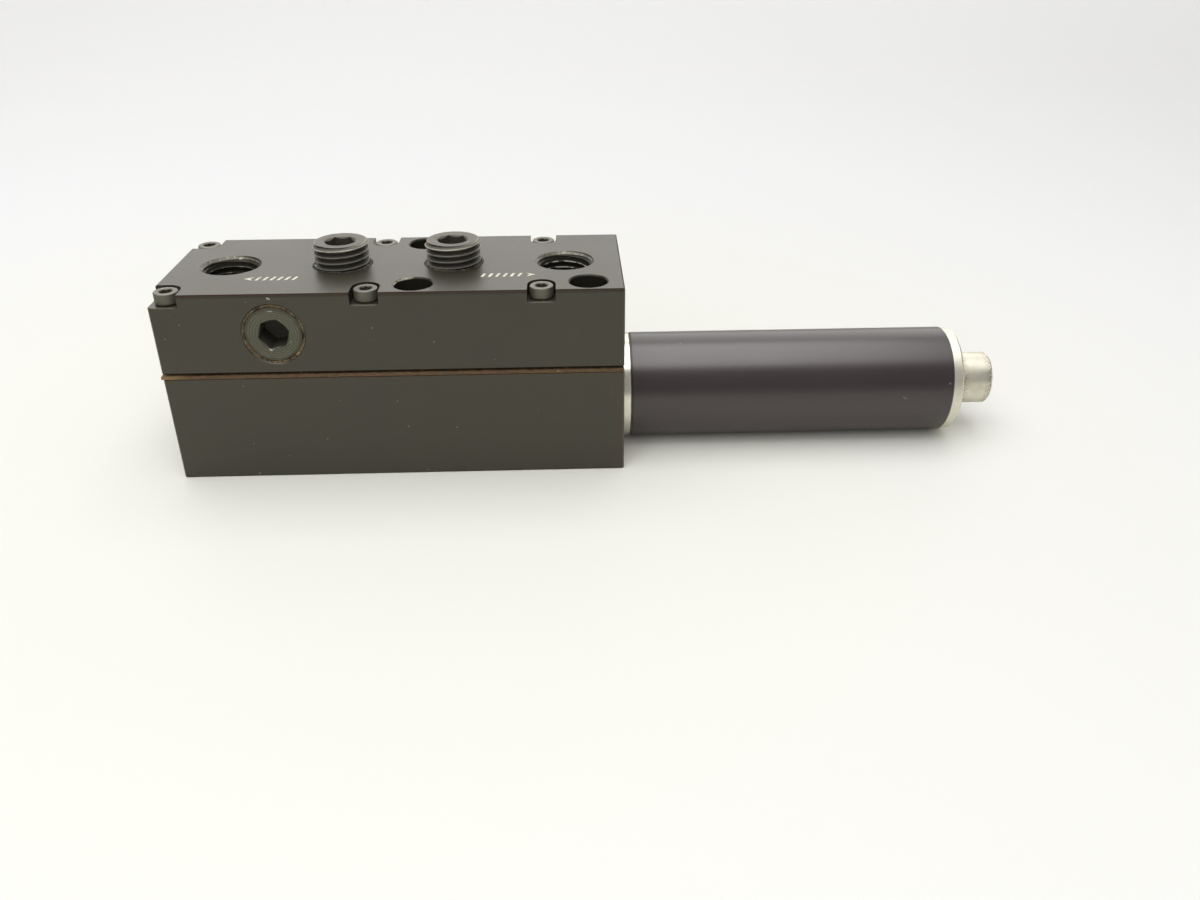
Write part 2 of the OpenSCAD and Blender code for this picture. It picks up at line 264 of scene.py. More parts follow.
kept = ramp(edge_wear, chips, calc(edge_wear, "SUBTRACT", given["Breakup"], 0.25), given["Breakup"])
edge_wear.links.new(times(edge_wear, line, kept), result["Mask"])
edge_wear.links.new(ramp(edge_wear, to_edge, *CHAMFER, 1.0, 0.0), result["Line"])
print("group:", edge_wear.name)

# %% [markdown]
# Dust and pin-pricks are cells of a Voronoi pattern. Only a few cells are kept, by the
# random colour that each cell has, and each keeps only a small disc round its centre.
# A noise bends the discs a little, so that they aren't round.

# %% Group: specks
BEND = (0.6 * MM,) * 3
specks, given, result = start_group("specks", {"Scale": 400.0, "Share": 0.1, "Size": 0.2}, ["Mask"])
place = place_of(specks)
warp = add(specks, "ShaderNodeTexNoise", {"Vector": place, "Scale": 900.0}).outputs[1]
bent = vector_calc(specks, "MULTIPLY_ADD", warp, BEND, place)
cells = add(specks, "ShaderNodeTexVoronoi", {"Vector": bent, "Scale": given["Scale"]}).outputs
chance, span, _ = split_up(specks, cells["Color"])
disc = calc(specks, "LESS_THAN", cells["Distance"], times(specks, given["Size"], span))
kept = calc(specks, "LESS_THAN", chance, given["Share"])
specks.links.new(times(specks, disc, kept), result["Mask"])
print("group:", specks.name)

# %% [markdown]
# A scratch is a place where a very stretched noise is at its highest. Two directions
# are enough to look random, and a second noise breaks long scratches into short ones.

# %% Group: hairline scratches
scratches, given, result = start_group("scratches", {"Amount": 0.5}, ["Mask"])
place = place_of(scratches)
lines = []
for angle, stretch in ((0.35, (40, 2600, 2600)), (-0.6, (60, 3400, 3400))):
    turned = add(
        scratches, "ShaderNodeVectorRotate", {"Vector": place, "Rotation": (angle, angle, angle)},
        rotation_type="EULER_XYZ").outputs[0]
    stretched = vector_calc(scratches, "MULTIPLY", turned, stretch)
    lines.append(ramp(scratches, noise(scratches, stretched, 1.0, 1.0), 0.70, 0.76))
broken = noise(scratches, place, 120.0)
gate = ramp(scratches, broken, calc(scratches, "SUBTRACT", 1.0, given["Amount"]), 1.0)
found = calc(scratches, "MULTIPLY", most(scratches, *lines), gate, clamp=True)
scratches.links.new(found, result["Mask"])
print("group:", scratches.name)

# %% [markdown]
# Turned faces carry the fine spiral that the lathe tool leaves. The group measures the
# distance from an axis and gives a wave on it, with some noise so that it isn't perfect.
# It also gives the depth below the face, which sockets use to get darker inwards. The
# axis is told by the two directions across it.

# %% Group: tool marks round an axis
ACROSS_X, ACROSS_Y, ACROSS_Z = (0, 1, 1), (1, 0, 1), (1, 1, 0)
FULL_TURN = 2 * math.pi
tool_marks, given, result = start_group(
    "tool_marks", {"Centre": (0, 0, 0), "Across": ACROSS_Z, "Pitch": 0.25 * MM},
    ["Height", "Radius", "Depth"])
place = place_of(tool_marks)
offset = vector_calc(tool_marks, "SUBTRACT", place, given["Centre"])
radius = vector_calc(tool_marks, "LENGTH", vector_calc(tool_marks, "MULTIPLY", offset, given["Across"]))
drift = noise(tool_marks, place, 500.0)
turns = calc(tool_marks, "ADD", calc(tool_marks, "DIVIDE", radius, given["Pitch"]), drift)
wave = calc(tool_marks, "SINE", times(tool_marks, turns, FULL_TURN))
tool_marks.links.new(scaled(tool_marks, wave, 0.5, 0.5), result["Height"])
tool_marks.links.new(radius, result["Radius"])
axis = vector_calc(tool_marks, "SUBTRACT", (1, 1, 1), given["Across"])
along = vector_calc(tool_marks, "DOT_PRODUCT", offset, axis)
tool_marks.links.new(calc(tool_marks, "ABSOLUTE", along), result["Depth"])
print("group:", tool_marks.name)

# %% [markdown]
# Every metal and coating here also has a fine grain and soft smudges. One group gives
# both: Fine is a tight noise for bump and roughness, and Broad is a slow one for colour.

# %% Group: grain and smudges
grain, given, result = start_group("grain", {"Fine scale": 3000.0, "Broad scale": 60.0}, ["Fine", "Broad"])
place = place_of(grain)
for size in ("Fine", "Broad"):
    grain.links.new(noise(grain, place, given[f"{size} scale"], 4.0), result[size])
print("group:", grain.name)

# %% [markdown]
# ## Starting a material
# Each finish starts from the same few lines: a new material, its Principled shader, and
# a call that places one of the groups above. It ends by wiring what it worked out.

# %% Material helpers


def start_material(name, **fixed):
    """A new material. Returns it with its tree and shader. fixed sets the shader's own sockets."""
    made = bpy.data.materials.new(name)
    made.use_nodes = True
    shader = made.node_tree.nodes["Principled BSDF"]
    for key, value in fixed.items():
        shader.inputs[key.replace("_", " ")].default_value = value
    return made, made.node_tree, shader


def place_group(tree, group, **values):
    """Places a group in a tree with its own values. Returns the group's outputs."""
    inputs = {key.replace("_", " "): value for key, value in values.items()}
    return add(tree, "ShaderNodeGroup", inputs, node_tree=group).outputs


def wire(tree, shader, **sockets):
    """Wires each socket to the shader's input of that name."""
    for key, socket in sockets.items():
        tree.links.new(socket, shader.inputs[key.replace("_", " ")])


def set_bump(tree, shader, height, depth):
    """Bumps the shader's normal by a height from 0 to 1, which stands for depth in metres."""
    wire(tree, shader, Normal=add(tree, "ShaderNodeBump", {"Height": height, "Distance": depth}).outputs[0])


def paint(node, material):
    """Gives a CAD node its material."""
    data = nodes[node].data
    data.materials.clear()
    data.materials.append(material)


print("materials can start")

# %% [markdown]
# ## Masks for single marks
# Dust and scratches are spread at random, but a nick, a painted highlight and a spot of rust
# each lie in one place. A spot is a small ball, a streak a small box, and a rubbed rim a
# crescent round an upright hole.
# Each is a distance from a known point, so nothing has to be painted by hand.

# %% Single marks


def spot_mask(tree, at, radius):
    """A mask that is 1 at a small place and 0 outside its radius. It marks nicks, painted highlights and
    spots of rust.
    """
    away = vector_calc(tree, "DISTANCE", place_of(tree), at)
    return ramp(tree, away, radius * 0.5, radius, 1.0, 0.0)


def strip_mask(tree, at, half_size):
    """A mask that is 1 in the middle of a small box and fades to 0 at its sides."""
    offset = vector_calc(tree, "SUBTRACT", place_of(tree), at)
    shares = vector_calc(tree, "ABSOLUTE", vector_calc(tree, "DIVIDE", offset, half_size))
    return ramp(tree, most(tree, *split_up(tree, shares)), 0.6, 1.0, 1.0, 0.0)


def level_offset(tree, offset):
    """The part of an offset that lies across an upright axis, and its length."""
    flat = vector_calc(tree, "MULTIPLY", offset, ACROSS_Z)
    return flat, vector_calc(tree, "LENGTH", flat)


def rim_wear(tree, centre, radius, toward):
    """A thin crescent on the rim of an upright hole, on the side that toward points to."""
    place = place_of(tree)
    flat, away = level_offset(tree, vector_calc(tree, "SUBTRACT", place, centre))
    line = thin_line(tree, away, radius, 0.1 * MM, 0.3 * MM)
    spots = ramp(tree, noise(tree, place, 900.0, 3.0), 0.36, 0.5, 0.25, 1.0)
    at_top = ramp(tree, split_up(tree, place)[2], top - 0.5 * MM, top - 0.3 * MM)
    side = vector_calc(tree, "DOT_PRODUCT", flat, toward)
    return times(tree, line, spots, at_top, ramp(tree, side, 0.62 * radius, 0.92 * radius))


print("single marks ready")

# %% [markdown]
# ## Black anodised aluminium
# The two blocks were milled, blasted and anodised black. The coat is a little glossy, so
# it goes light where it mirrors a bright wall at a flat angle and stays dark elsewhere.
# An index of refraction of 1.66 on a dark base does that. Corners have rubbed through to
# a pinkish brown, and there are pale pin-pricks and hairlines. Chamfers that face down, holes,
# grooves and deep threads are painted near black as shade. Where painted shade is deepest the
# specular level goes to nothing, because even a low one still mirrors at flat angles.

# %% Finish: anodised block
BARE_METAL_AND_HIGHLIGHT = (0.42, 0.42, 0.33, 1)
MAROON = (0.027, 0.012, 0.009, 1)
BROWN = (0.075, 0.055, 0.040, 1)


def anodised_block(name, low, high, upper_edge, extra=None, dulled=None):
    """The blocks' finish, with worn edges on the box from low to high. upper_edge colours the upper
    chamfers, and chamfers that face down are painted black as shade. extra makes a mask that is
    painted bare metal: damage, and a few painted highlights. dulled makes one of places that mirror
    less, which are painted black as shade where it is strong."""
    made, tree, shader = start_material(name, IOR=1.66, Specular_Tint=(1.0, 0.975, 0.90, 1))
    texture = place_group(tree, grain, Fine_scale=5200.0, Broad_scale=45.0)
    edge = place_group(tree, edge_wear, Low=low, High=high, Width=0.5 * MM, Breakup=0.52)
    dust = place_group(tree, specks, Scale=520.0, Share=0.08, Size=0.15)["Mask"]
    hairs = place_group(tree, scratches, Amount=0.45)["Mask"]
    facing = upward_share(tree)
    upward = times(tree, edge["Line"], ramp(tree, facing, 0.3, 0.6))
    # Chamfers that face down are painted near black: painted shade under the edges.
    underside_shade = times(tree, edge["Line"], ramp(tree, facing, -0.6, -0.3, 1.0, 0.0))
    upright = times(tree, edge["Line"], ramp(tree, calc(tree, "ABSOLUTE", facing), 0.0, 0.3, 1.0, 0.0))
    worn = times(tree, edge["Mask"], scaled(tree, upward, -0.75, 0.85))
    coat = blend_colour(tree, texture["Broad"], (0.016, 0.0145, 0.0085, 1), (0.027, 0.0245, 0.015, 1))
    base = lay_over(
        tree, coat,
        (hairs, 0.2, (0.16, 0.15, 0.13, 1)),
        (upward, 0.9, upper_edge),
        (worn, 1, (0.095, 0.060, 0.046, 1)),
        (upright, 0.6, (0.15, 0.095, 0.07, 1)),
        (underside_shade, 0.9, (0.004, 0.003, 0.003, 1)),
        (dust, 0.5, (0.24, 0.22, 0.17, 1)))
    dull = most(tree, upward, underside_shade, worn)
    if dulled:
        # Where the dulled mask is strong, the base is painted black: painted shade in holes, grooves and
        # deep threads.
        painted_shade = dulled(tree)
        black = ramp(tree, painted_shade, 0.65, 1.0)
        base = lay_over(tree, base, (black, 0.8, (0.014, 0.013, 0.012, 1)))
        dull = most(tree, dull, painted_shade, times(tree, black, 1.13))
    # The extra mask is painted bare metal: worn damage, and a few painted highlights.
    if extra:
        base = blend_colour(tree, extra(tree), base, BARE_METAL_AND_HIGHLIGHT)
    rough = scaled(tree, texture["Broad"], 0.10, 0.31)
    rough = scaled(tree, texture["Fine"], 0.05, rough)
    rough = scaled(tree, edge["Mask"], 0.3, rough)
    wire(tree, shader, Base_Color=base, Roughness=rough, Specular_IOR_Level=scaled(tree, dull, -0.44, 0.5))
    set_bump(tree, shader, texture["Fine"], 0.004 * MM)
    return made


paint("lower_block", anodised_block("anodised_lower", lower_low, lower_high, BROWN))
print("lower block painted")

# %% [markdown]
# ## Marks on the upper block
# The upper block has been used more. Fittings have rubbed the mouths of the open ports, and
# keys have left bright spots. Some bright places are painted highlights. The groove that a
# port's thread cuts into its mouth is a painted shade line, and the mounting holes are painted
# dark inside as shade. A band along the upper edge mirrors less. Each mark is a mask of its
# own, and they are joined by taking the largest.

# %% Ports and holes
front_holes = mounts["front_mounting_holes"]
hole_pitch = front_holes["dims"]["spacing_x_mm"] * MM
hole = Vector(front_holes["pos_m"]) - Vector((hole_pitch / 2, 0, 0))
MOUNTING_HOLES = ((hole.x, hole.y), (hole.x + hole_pitch, hole.y), mounts["rear_mounting_hole"]["pos_m"][:2])
COUNTERBORE = 4.4 * MM
HEAD_HEIGHT = 2.7 * MM
THREAD_PITCH = 1.46 * MM
PORT_CRESTS = {"vacuum_port_left": 0.35 * MM, "vacuum_port_right": 0.45 * MM}
MOUTH = (7.0 * MM, 7.1 * MM)


def mouth_wear_and_glints(tree, centre):
    """Patchy rubbing on the chamfer of a vacuum port's mouth: partly wear, and partly painted glints."""
    radius = place_group(tree, tool_marks, Centre=centre, Across=ACROSS_Z)["Radius"]
    cone = times(tree, ramp(tree, radius, 6.35 * MM, 6.5 * MM), ramp(tree, radius, *MOUTH, 1.0, 0.0))
    spots = noise(tree, place_of(tree), 1300.0, 3.0)
    return times(tree, cone, ramp(tree, spots, 0.5, 0.64, 0.12, 0.45))


def thread_start(tree, centre, crest):
    """Painted shade of the groove where a port's thread begins: it cuts into the mouth's chamfer on the
    right.
    """
    offset = vector_calc(tree, "SUBTRACT", place_of(tree), centre)
    x, y, z = split_up(tree, offset)
    angle = calc(tree, "ARCTAN2", y, x)
    root = scaled(tree, angle, THREAD_PITCH / FULL_TURN, crest - THREAD_PITCH / 2)
    # This dark line is painted shade: the groove itself is not cut into the chamfer.
    groove = thin_line(tree, z, root, 0.08 * MM, 0.2 * MM)
    right = times(tree, ramp(tree, angle, -0.9, 0.2), ramp(tree, angle, 1.3, 1.7, 1.0, 0.0))
    mouth = ramp(tree, level_offset(tree, offset)[1], *MOUTH, 1.0, 0.0)
    return times(tree, groove, right, mouth, 0.82)


def port_centre(name):
    """The middle of a vacuum port's mouth, on the block's top."""
    x, y, _ = mounts[name]["pos_m"]
    return Vector((x, y, top))


print("mounting holes:", len(MOUNTING_HOLES))

# %% Marks and grime of the upper block


def upper_marks(tree):
    """The nick above the front plug, the bright crescent on the middle hole's rim, the rubbed
    mouths of the ports with painted glints, a painted highlight at the back of the left one's
    mouth, and the bright lip under each front notch, partly wear and partly painted highlight."""
    nick_at = Vector((middle("front_plug").x, front, top))
    nick = most(
        tree, spot_mask(tree, nick_at + Vector((-0.05, 0, -0.95)) * MM, 0.3 * MM),
        spot_mask(tree, nick_at + Vector((0.3, 0, -1.12)) * MM, 0.3 * MM))
    crescent = rim_wear(tree, hole, COUNTERBORE, (-0.8, 0.6, 0))
    found = most(tree, times(tree, nick, 0.7), times(tree, crescent, 0.9))
    for name, crest in PORT_CRESTS.items():
        centre = port_centre(name)
        groove = thread_start(tree, centre, crest)
        found = most(tree, found, calc(tree, "SUBTRACT", mouth_wear_and_glints(tree, centre), groove, clamp=True))
    # A painted highlight at the back of the left port's mouth.
    back_glint = spot_mask(tree, port_centre("vacuum_port_left") + Vector((0.4, 6.5, -0.6)) * MM, 0.4 * MM)
    found = most(tree, found, times(tree, back_glint, 0.9))
    # A thin light line under each front notch: partly wear, and partly a painted highlight where the edge
    # catches light.
    for number in (1, 2, 3):
        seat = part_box(f"cover_screw_{number}")[1].z - HEAD_HEIGHT
        lip_at = (middle(f"cover_screw_{number}").x, front, seat - 0.12 * MM)
        lip = strip_mask(tree, lip_at, (3.0 * MM, 0.3 * MM, 0.16 * MM))
        found = most(tree, found, times(tree, lip, 0.2))
    return found


def upper_dulled(tree):
    """A band along the upper edge of the block's sides that mirrors less, the painted shade lines where
    the threads start, and painted shade inside the mounting holes, which has a ragged upper edge."""
    place = place_of(tree)
    height = split_up(tree, place)[2]
    band = ramp(tree, height, top - 1.1 * MM, top - 0.3 * MM, 0.0, 0.62)
    found = times(tree, band, calc(tree, "LESS_THAN", upward_share(tree), 0.5))
    for name, crest in PORT_CRESTS.items():
        found = most(tree, found, thread_start(tree, port_centre(name), crest))
    ragged = noise(tree, place, 1100.0, 3.0)
    sunk = ramp(tree, height, top - 0.14 * MM, top - 0.04 * MM, 1.0, 0.0)
    # Painted shade inside each mounting hole, below the top.
    for x, y in MOUNTING_HOLES:
        radius = place_group(tree, tool_marks, Centre=(x, y, top), Across=ACROSS_Z)["Radius"]
        rim = scaled(tree, ragged, 0.5 * MM, radius)
        inside = ramp(tree, rim, COUNTERBORE + 0.35 * MM, COUNTERBORE + 0.45 * MM, 0.88, 0.0)
        found = most(tree, found, times(tree, inside, sunk))
    return found


upper_finish = anodised_block("anodised_upper", upper_low, upper_high, MAROON, upper_marks, upper_dulled)
paint("upper_block", upper_finish)
print("upper block painted")

# %% [markdown]
# ## The silencer's tube
# The tube is drawn aluminium with the same kind of coat, but its dye leans to purple.
# It is smoother than the blocks, with faint lines along it from drawing, and it has a few
# light scratches. One of them is hooked: an arc of a circle on the tube's front.

# %% Finish: anodised tube
made, tree, shader = start_material("anodised_tube", IOR=1.78)
place = place_of(tree)
texture = place_group(tree, grain, Fine_scale=4200.0, Broad_scale=30.0)
hairs = place_group(tree, scratches, Amount=0.42)["Mask"]
dust = place_group(tree, specks, Scale=430.0, Share=0.11, Size=0.16)["Mask"]
drawn = noise(tree, vector_calc(tree, "MULTIPLY", place, (900.0, 24000.0, 24000.0)), 0.12, 3.0)
tube_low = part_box("silencer_tube")[0]
hook_at = Vector((tube_low.x, tube_low.y, middle("silencer_tube").z)) + Vector((67.2, 1.5, 1.5)) * MM
offset = vector_calc(tree, "SUBTRACT", place, hook_at)
arc = thin_line(tree, vector_calc(tree, "LENGTH", offset), 1.7 * MM, 0.05 * MM, 0.16 * MM)
side = vector_calc(tree, "DOT_PRODUCT", offset, (-0.5, 0.0, -0.87))
hook = times(tree, arc, ramp(tree, side, 0.5 * MM, 1.2 * MM))
coat = blend_colour(tree, texture["Broad"], (0.014, 0.006, 0.009, 1), (0.021, 0.011, 0.014, 1))
base = lay_over(
    tree, coat,
    (hairs, 0.2, (0.2, 0.17, 0.17, 1)),
    (hook, 0.6, (0.30, 0.28, 0.26, 1)),
    (dust, 0.6, (0.30, 0.27, 0.25, 1)))
rough = scaled(tree, drawn, 0.06, scaled(tree, texture["Broad"], 0.08, 0.24))
wire(tree, shader, Base_Color=base, Roughness=rough)
set_bump(tree, shader, scaled(tree, drawn, 0.5, texture["Fine"]), 0.003 * MM)
paint("silencer_tube", made)
print("tube painted")

# %% [markdown]
# ## Bare aluminium
# The two caps of the silencer were turned and left bare. The finish is a metal with tool
# marks round the axis and the fine feed lines of the lathe. The outlet stub is grimy where
# hands and hoses have touched it: a patchy brown stain, dots, and a crackle of dirt in
# its corner and at its end. Dirt isn't metal, so it takes the shader's Metallic down.

# %% Finish: bare turned aluminium
FEED = 0.2 * MM
STUB_LENGTH = 9 * MM


def bare_aluminium(name, centre, stain_from, roughness):
    """Turned aluminium round the X axis. Grime starts at stain_from along X."""
    made, tree, shader = start_material(name)
    texture = place_group(tree, grain, Fine_scale=2600.0, Broad_scale=170.0)
    rings = place_group(tree, tool_marks, Centre=centre, Across=ACROSS_X, Pitch=0.22 * MM)
    along = split_up(tree, place_of(tree))[0]
    zone = ramp(tree, along, stain_from - 0.5 * MM, stain_from + 0.8 * MM, 0.12, 1.0)
    stain = times(tree, ramp(tree, texture["Broad"], 0.40, 0.66, 0.22, 1.0), zone)
    dots = times(tree, place_group(tree, specks, Scale=1100.0, Share=0.3, Size=0.26)["Mask"], zone)
    dirt = most(tree, times(tree, stain, 0.5), times(tree, dots, 0.55))
    ends = most(
        tree, ramp(tree, along, stain_from + 1.8 * MM, stain_from + 3.4 * MM, 1.0, 0.0),
        ramp(tree, along, stain_from + 6.8 * MM, stain_from + 8.4 * MM))
    crackle = times(tree, ramp(tree, texture["Fine"], 0.49, 0.56), zone, ends)
    metal = blend_colour(tree, texture["Broad"], (0.75, 0.74, 0.65, 1), (0.86, 0.85, 0.75, 1))
    base = lay_over(tree, metal, (dirt, 1, (0.40, 0.35, 0.25, 1)), (crackle, 0.7, (0.25, 0.20, 0.13, 1)))
    clean_share = calc(tree, "SUBTRACT", 1.0, times(tree, dirt, 0.5))
    rough = scaled(tree, texture["Fine"], 0.12, roughness)
    rough = scaled(tree, dirt, 0.3, scaled(tree, zone, -0.14, rough))
    wire(tree, shader, Base_Color=base, Metallic=clean_share, Roughness=rough)
    feed = calc(tree, "SINE", times(tree, along, FULL_TURN / FEED))
    set_bump(tree, shader, scaled(tree, feed, 0.25, rings["Height"]), 0.004 * MM)
    return made


outlet_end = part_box("silencer_end_cap")[1].x
front_cap = bare_aluminium("bare_front_cap", middle("silencer_front_cap"), outlet_end, 0.18)
end_cap = bare_aluminium("bare_end_cap", middle("silencer_end_cap"), outlet_end - STUB_LENGTH, 0.38)
paint("silencer_front_cap", front_cap)
paint("silencer_end_cap", end_cap)
print("caps painted")

# %% [markdown]
# ## Dark steel with bright crests
# Plugs and screws are steel with a thin dark coat. Where a thread crest or a rim has
# rubbed, it is lighter, and part of that light is painted highlight, so the finish is told how
# far from the axis the lighter part starts. Sockets are painted darker inwards as shade. The
# flush plug also has brown rust creeping in from its rim.

# %% Finish: steel
STEEL_GRIME = (0.02, 0.02, 0.016, 1)
RUST = (0.034, 0.024, 0.012, 1)


def dark_steel(
        name, face_at, across, rubbed_radius, colours, socket, dark_from, pitch=0.3 * MM, marks=0.14,
        rust=0.0, rust_from=0.0, rim=0.0, glints_and_rust=(), face_depth=(0.15 * MM, 0.6 * MM)):
    """Coated steel round an axis through face_at, the middle of the face. A pair of radii or depths
    says where an effect starts and where it is full. colours are those of the valleys, of the face
    and of rubbed crests, which are partly painted highlight. Inside the socket's radius it is painted
    darker inwards, as shade. marks is the strength of the tool marks, and pitch their spacing. rim is
    the radius of the face's edge, painted lighter as rubbed wear and partly as highlight.
    glints_and_rust are single small marks, painted highlights and spots of rust, each an offset and a
    half size in millimetres, a strength and a colour."""
    made, tree, shader = start_material(name)
    texture = place_group(tree, grain, Fine_scale=3800.0, Broad_scale=420.0)
    rings = place_group(tree, tool_marks, Centre=face_at, Across=across, Pitch=pitch)
    dust = place_group(tree, specks, Scale=900.0, Share=0.09, Size=0.3)["Mask"]
    on_face = ramp(tree, rings["Depth"], *face_depth, 1.0, 0.0)
    worn = ramp(tree, texture["Broad"], 0.28, 0.5, 0.45, 1.0)
    # Crests are painted lighter: partly rubbed wear and partly painted highlight.
    rubbed = times(tree, ramp(tree, rings["Radius"], *rubbed_radius), worn)
    # The face's edge is painted lighter too: partly rubbed wear and partly painted highlight.
    if rim:
        ring = times(tree, thin_line(tree, rings["Radius"], rim, 0.06 * MM, 0.3 * MM), on_face)
        rubbed = most(tree, rubbed, times(tree, ring, times(tree, worn, 0.5)))
    mottled = times(tree, on_face, ramp(tree, texture["Broad"], 0.3, 0.65, 0.72, 1.0))
    turned = times(tree, rings["Height"], ramp(tree, texture["Broad"], 0.3, 0.6, 0.25, 1.0))
    base = lay_over(
        tree, colours[0], (mottled, 1, colours[1]), (turned, marks, STEEL_GRIME), (rubbed, 1, colours[2]),
        (dust, 0.5, (0.5, 0.49, 0.42, 1)))
    bright = most(tree, rubbed, on_face)
    metal = scaled(tree, dust, -0.5, scaled(tree, bright, 0.4, 0.52))
    if rust:
        creep = scaled(tree, texture["Broad"], -1.6 * MM, rings["Radius"])
        eaten = times(tree, ramp(tree, creep, rust_from - 1.4 * MM, rust_from), rust)
        base = blend_colour(tree, eaten, base, RUST)
        metal = calc(tree, "SUBTRACT", metal, times(tree, eaten, 0.8), clamp=True)
    # Painted shade: the socket is painted darker with depth.
    in_socket = calc(tree, "LESS_THAN", rings["Radius"], socket)
    dark = times(tree, in_socket, ramp(tree, rings["Depth"], *dark_from))
    pits = times(tree, place_group(tree, specks, Scale=640.0, Share=0.10, Size=0.24)["Mask"], on_face)
    base = lay_over(tree, base, (dark, 1, (0.075, 0.068, 0.056, 1)), (pits, 0.6, (0.035, 0.030, 0.026, 1)))
    # Single small marks: painted highlights and spots of rust.
    for offset, half_size, strength, colour in glints_and_rust:
        spot = strip_mask(tree, face_at + Vector(offset) * MM, Vector(half_size) * MM)
        base = lay_over(tree, base, (spot, strength, colour))
    rough = scaled(tree, bright, -0.12, scaled(tree, texture["Fine"], 0.2, 0.5))
    wire(tree, shader, Base_Color=base, Metallic=metal, Roughness=rough)
    set_bump(tree, shader, scaled(tree, texture["Broad"], 1.6, rings["Height"]), 0.012 * MM)
    return made


PLUG_COAT = ((0.085, 0.080, 0.068, 1), (0.152, 0.146, 0.129, 1), (0.37, 0.365, 0.31, 1))
FLUSH_COAT = ((0.05, 0.045, 0.03, 1), (0.165, 0.167, 0.128, 1), (0.12, 0.12, 0.095, 1))
SCREW_COAT = ((0.14, 0.138, 0.108, 1), (0.20, 0.195, 0.17, 1), (0.40, 0.38, 0.33, 1))
print("steel can be mixed")

# %% [markdown]
# ## A mesh that is spun round an axis
# Plugs, screws and threads are all rings of points round an axis. A row is one ring: a
# radius and a height for each column. Rows of a thread climb by one pitch in a full turn,
# so at the seam they join the row that is one turn higher. Rows that climb past the end
# of the piece are pressed flat on it, and the doubled points are merged.

# %% Rows of a thread
SHARES = (0.0, 0.06, 0.25, 0.44, 0.5, 0.56, 0.75, 0.94)
CREST_HALF = 0.06


def thread_shape(turns):
    """0 on a crest and 1 in the root, for a place counted in turns across the thread."""
    away = np.abs(turns - np.round(turns))
    return np.clip((away - CREST_HALF) / (0.5 - 2 * CREST_HALF), 0, 1)


def thread_rows(low, high, pitch, phase, columns, radius_at):
    """The rows of a thread from low to high. radius_at(height, shape) gives the radius."""
    first = math.floor((low - phase) / pitch) - 1
    last = math.ceil((high - phase) / pitch) + 1
    places = np.array([turn + share for turn in range(first, last + 1) for share in SHARES])
    climb = pitch * np.arange(columns) / columns
    heights = np.clip(phase + pitch * places[:, None] + climb, low, high)
    radii = radius_at(heights, thread_shape((heights - phase - climb) / pitch))
    return list(zip(radii, heights))


print("rows in one turn:", len(SHARES))

# %% Spun meshes
SHARP_DEGREES = 38


def clean(mesh):
    """Merges doubled points, turns every face outwards and marks the sharp edges."""
    work = bmesh.new()
    work.from_mesh(mesh)
    bmesh.ops.remove_doubles(work, verts=work.verts, dist=0.0002 * MM)
    bmesh.ops.dissolve_degenerate(work, edges=work.edges, dist=0.0001 * MM)
    bmesh.ops.recalc_face_normals(work, faces=work.faces)
    work.to_mesh(mesh)
    work.free()
    mesh.shade_smooth()
    mesh.set_sharp_from_angle(angle=math.radians(SHARP_DEGREES))


def spin(name, rows, angles, threaded=0, loop=False):
    """A mesh from rows of (radius, height). The first rows may be a thread. A loop joins its ends;
    otherwise each end is closed by a point on the axis."""
    columns = len(angles)
    points = []
    for radius, height in rows:
        radius = np.broadcast_to(radius, columns)
        height = np.broadcast_to(height, columns)
        points += list(zip(radius * np.cos(angles), radius * np.sin(angles), height))

    def corner(row, column):
        """The number of a point. Past the last column a thread goes on one turn higher."""
        if column < columns:
            return row * columns + column
        if row < threaded:
            row = min(row + len(SHARES), threaded - 1)
        return row * columns

    faces = []
    steps = len(rows) if loop else len(rows) - 1
    for row in range(steps):
        following = (row + 1) % len(rows)
        for column in range(columns):
            faces.append([
                corner(row, column), corner(row, column + 1),
                corner(following, column + 1), corner(following, column)])
    if not loop:
        for row in (0, len(rows) - 1):
            tip = len(points)
            points.append((0, 0, float(np.mean(rows[row][1]))))
            start = row * columns
            faces += [[start + c, start + (c + 1) % columns, tip] for c in range(columns)]
    mesh = bpy.data.meshes.new(name)
    mesh.from_pydata(points, [], [[*dict.fromkeys(face)] for face in faces])
    clean(mesh)
    return mesh


def put(name, mesh, material, at, stand_in_for=(), turn=None):
    """Makes the piece, puts it in place and lets it ride on the model's one body."""
    piece = bpy.data.objects.new(name, mesh)
    bpy.context.scene.collection.objects.link(piece)
    mesh.materials.clear()
    mesh.materials.append(material)
    mesh.transform(Matrix.Translation(at) @ (turn or Matrix.Identity(4)))
    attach(piece, "root")
    if stand_in_for:
        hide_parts(*stand_in_for)
    print(f"{name}: {len(mesh.polygons)} faces")
    return piece


print("spinning ready")

# %% [markdown]
# ## Socket plugs with a real thread
# A taper plug is a short threaded rod with a hexagon socket. The socket's outline is a
# hexagon in polar form, so it fits the same columns as the thread, and its corners lie
# exactly on columns. A small cone leads into it, which gives the curved upper edges.

# %% Plug meshes
COLUMNS = 120
FRONT_ANGLE = -math.pi / 2
PLUG_KEY = 6.35 * MM
PLUG_ROOT = 1.05 * MM
FIRST_CREST = 0.78 * MM
FOOT_RADIUS = 4.9 * MM


def column_angles(turn=0.0):
    """The angle of each column, with the first one at turn."""
    return turn + FULL_TURN * np.arange(COLUMNS) / COLUMNS


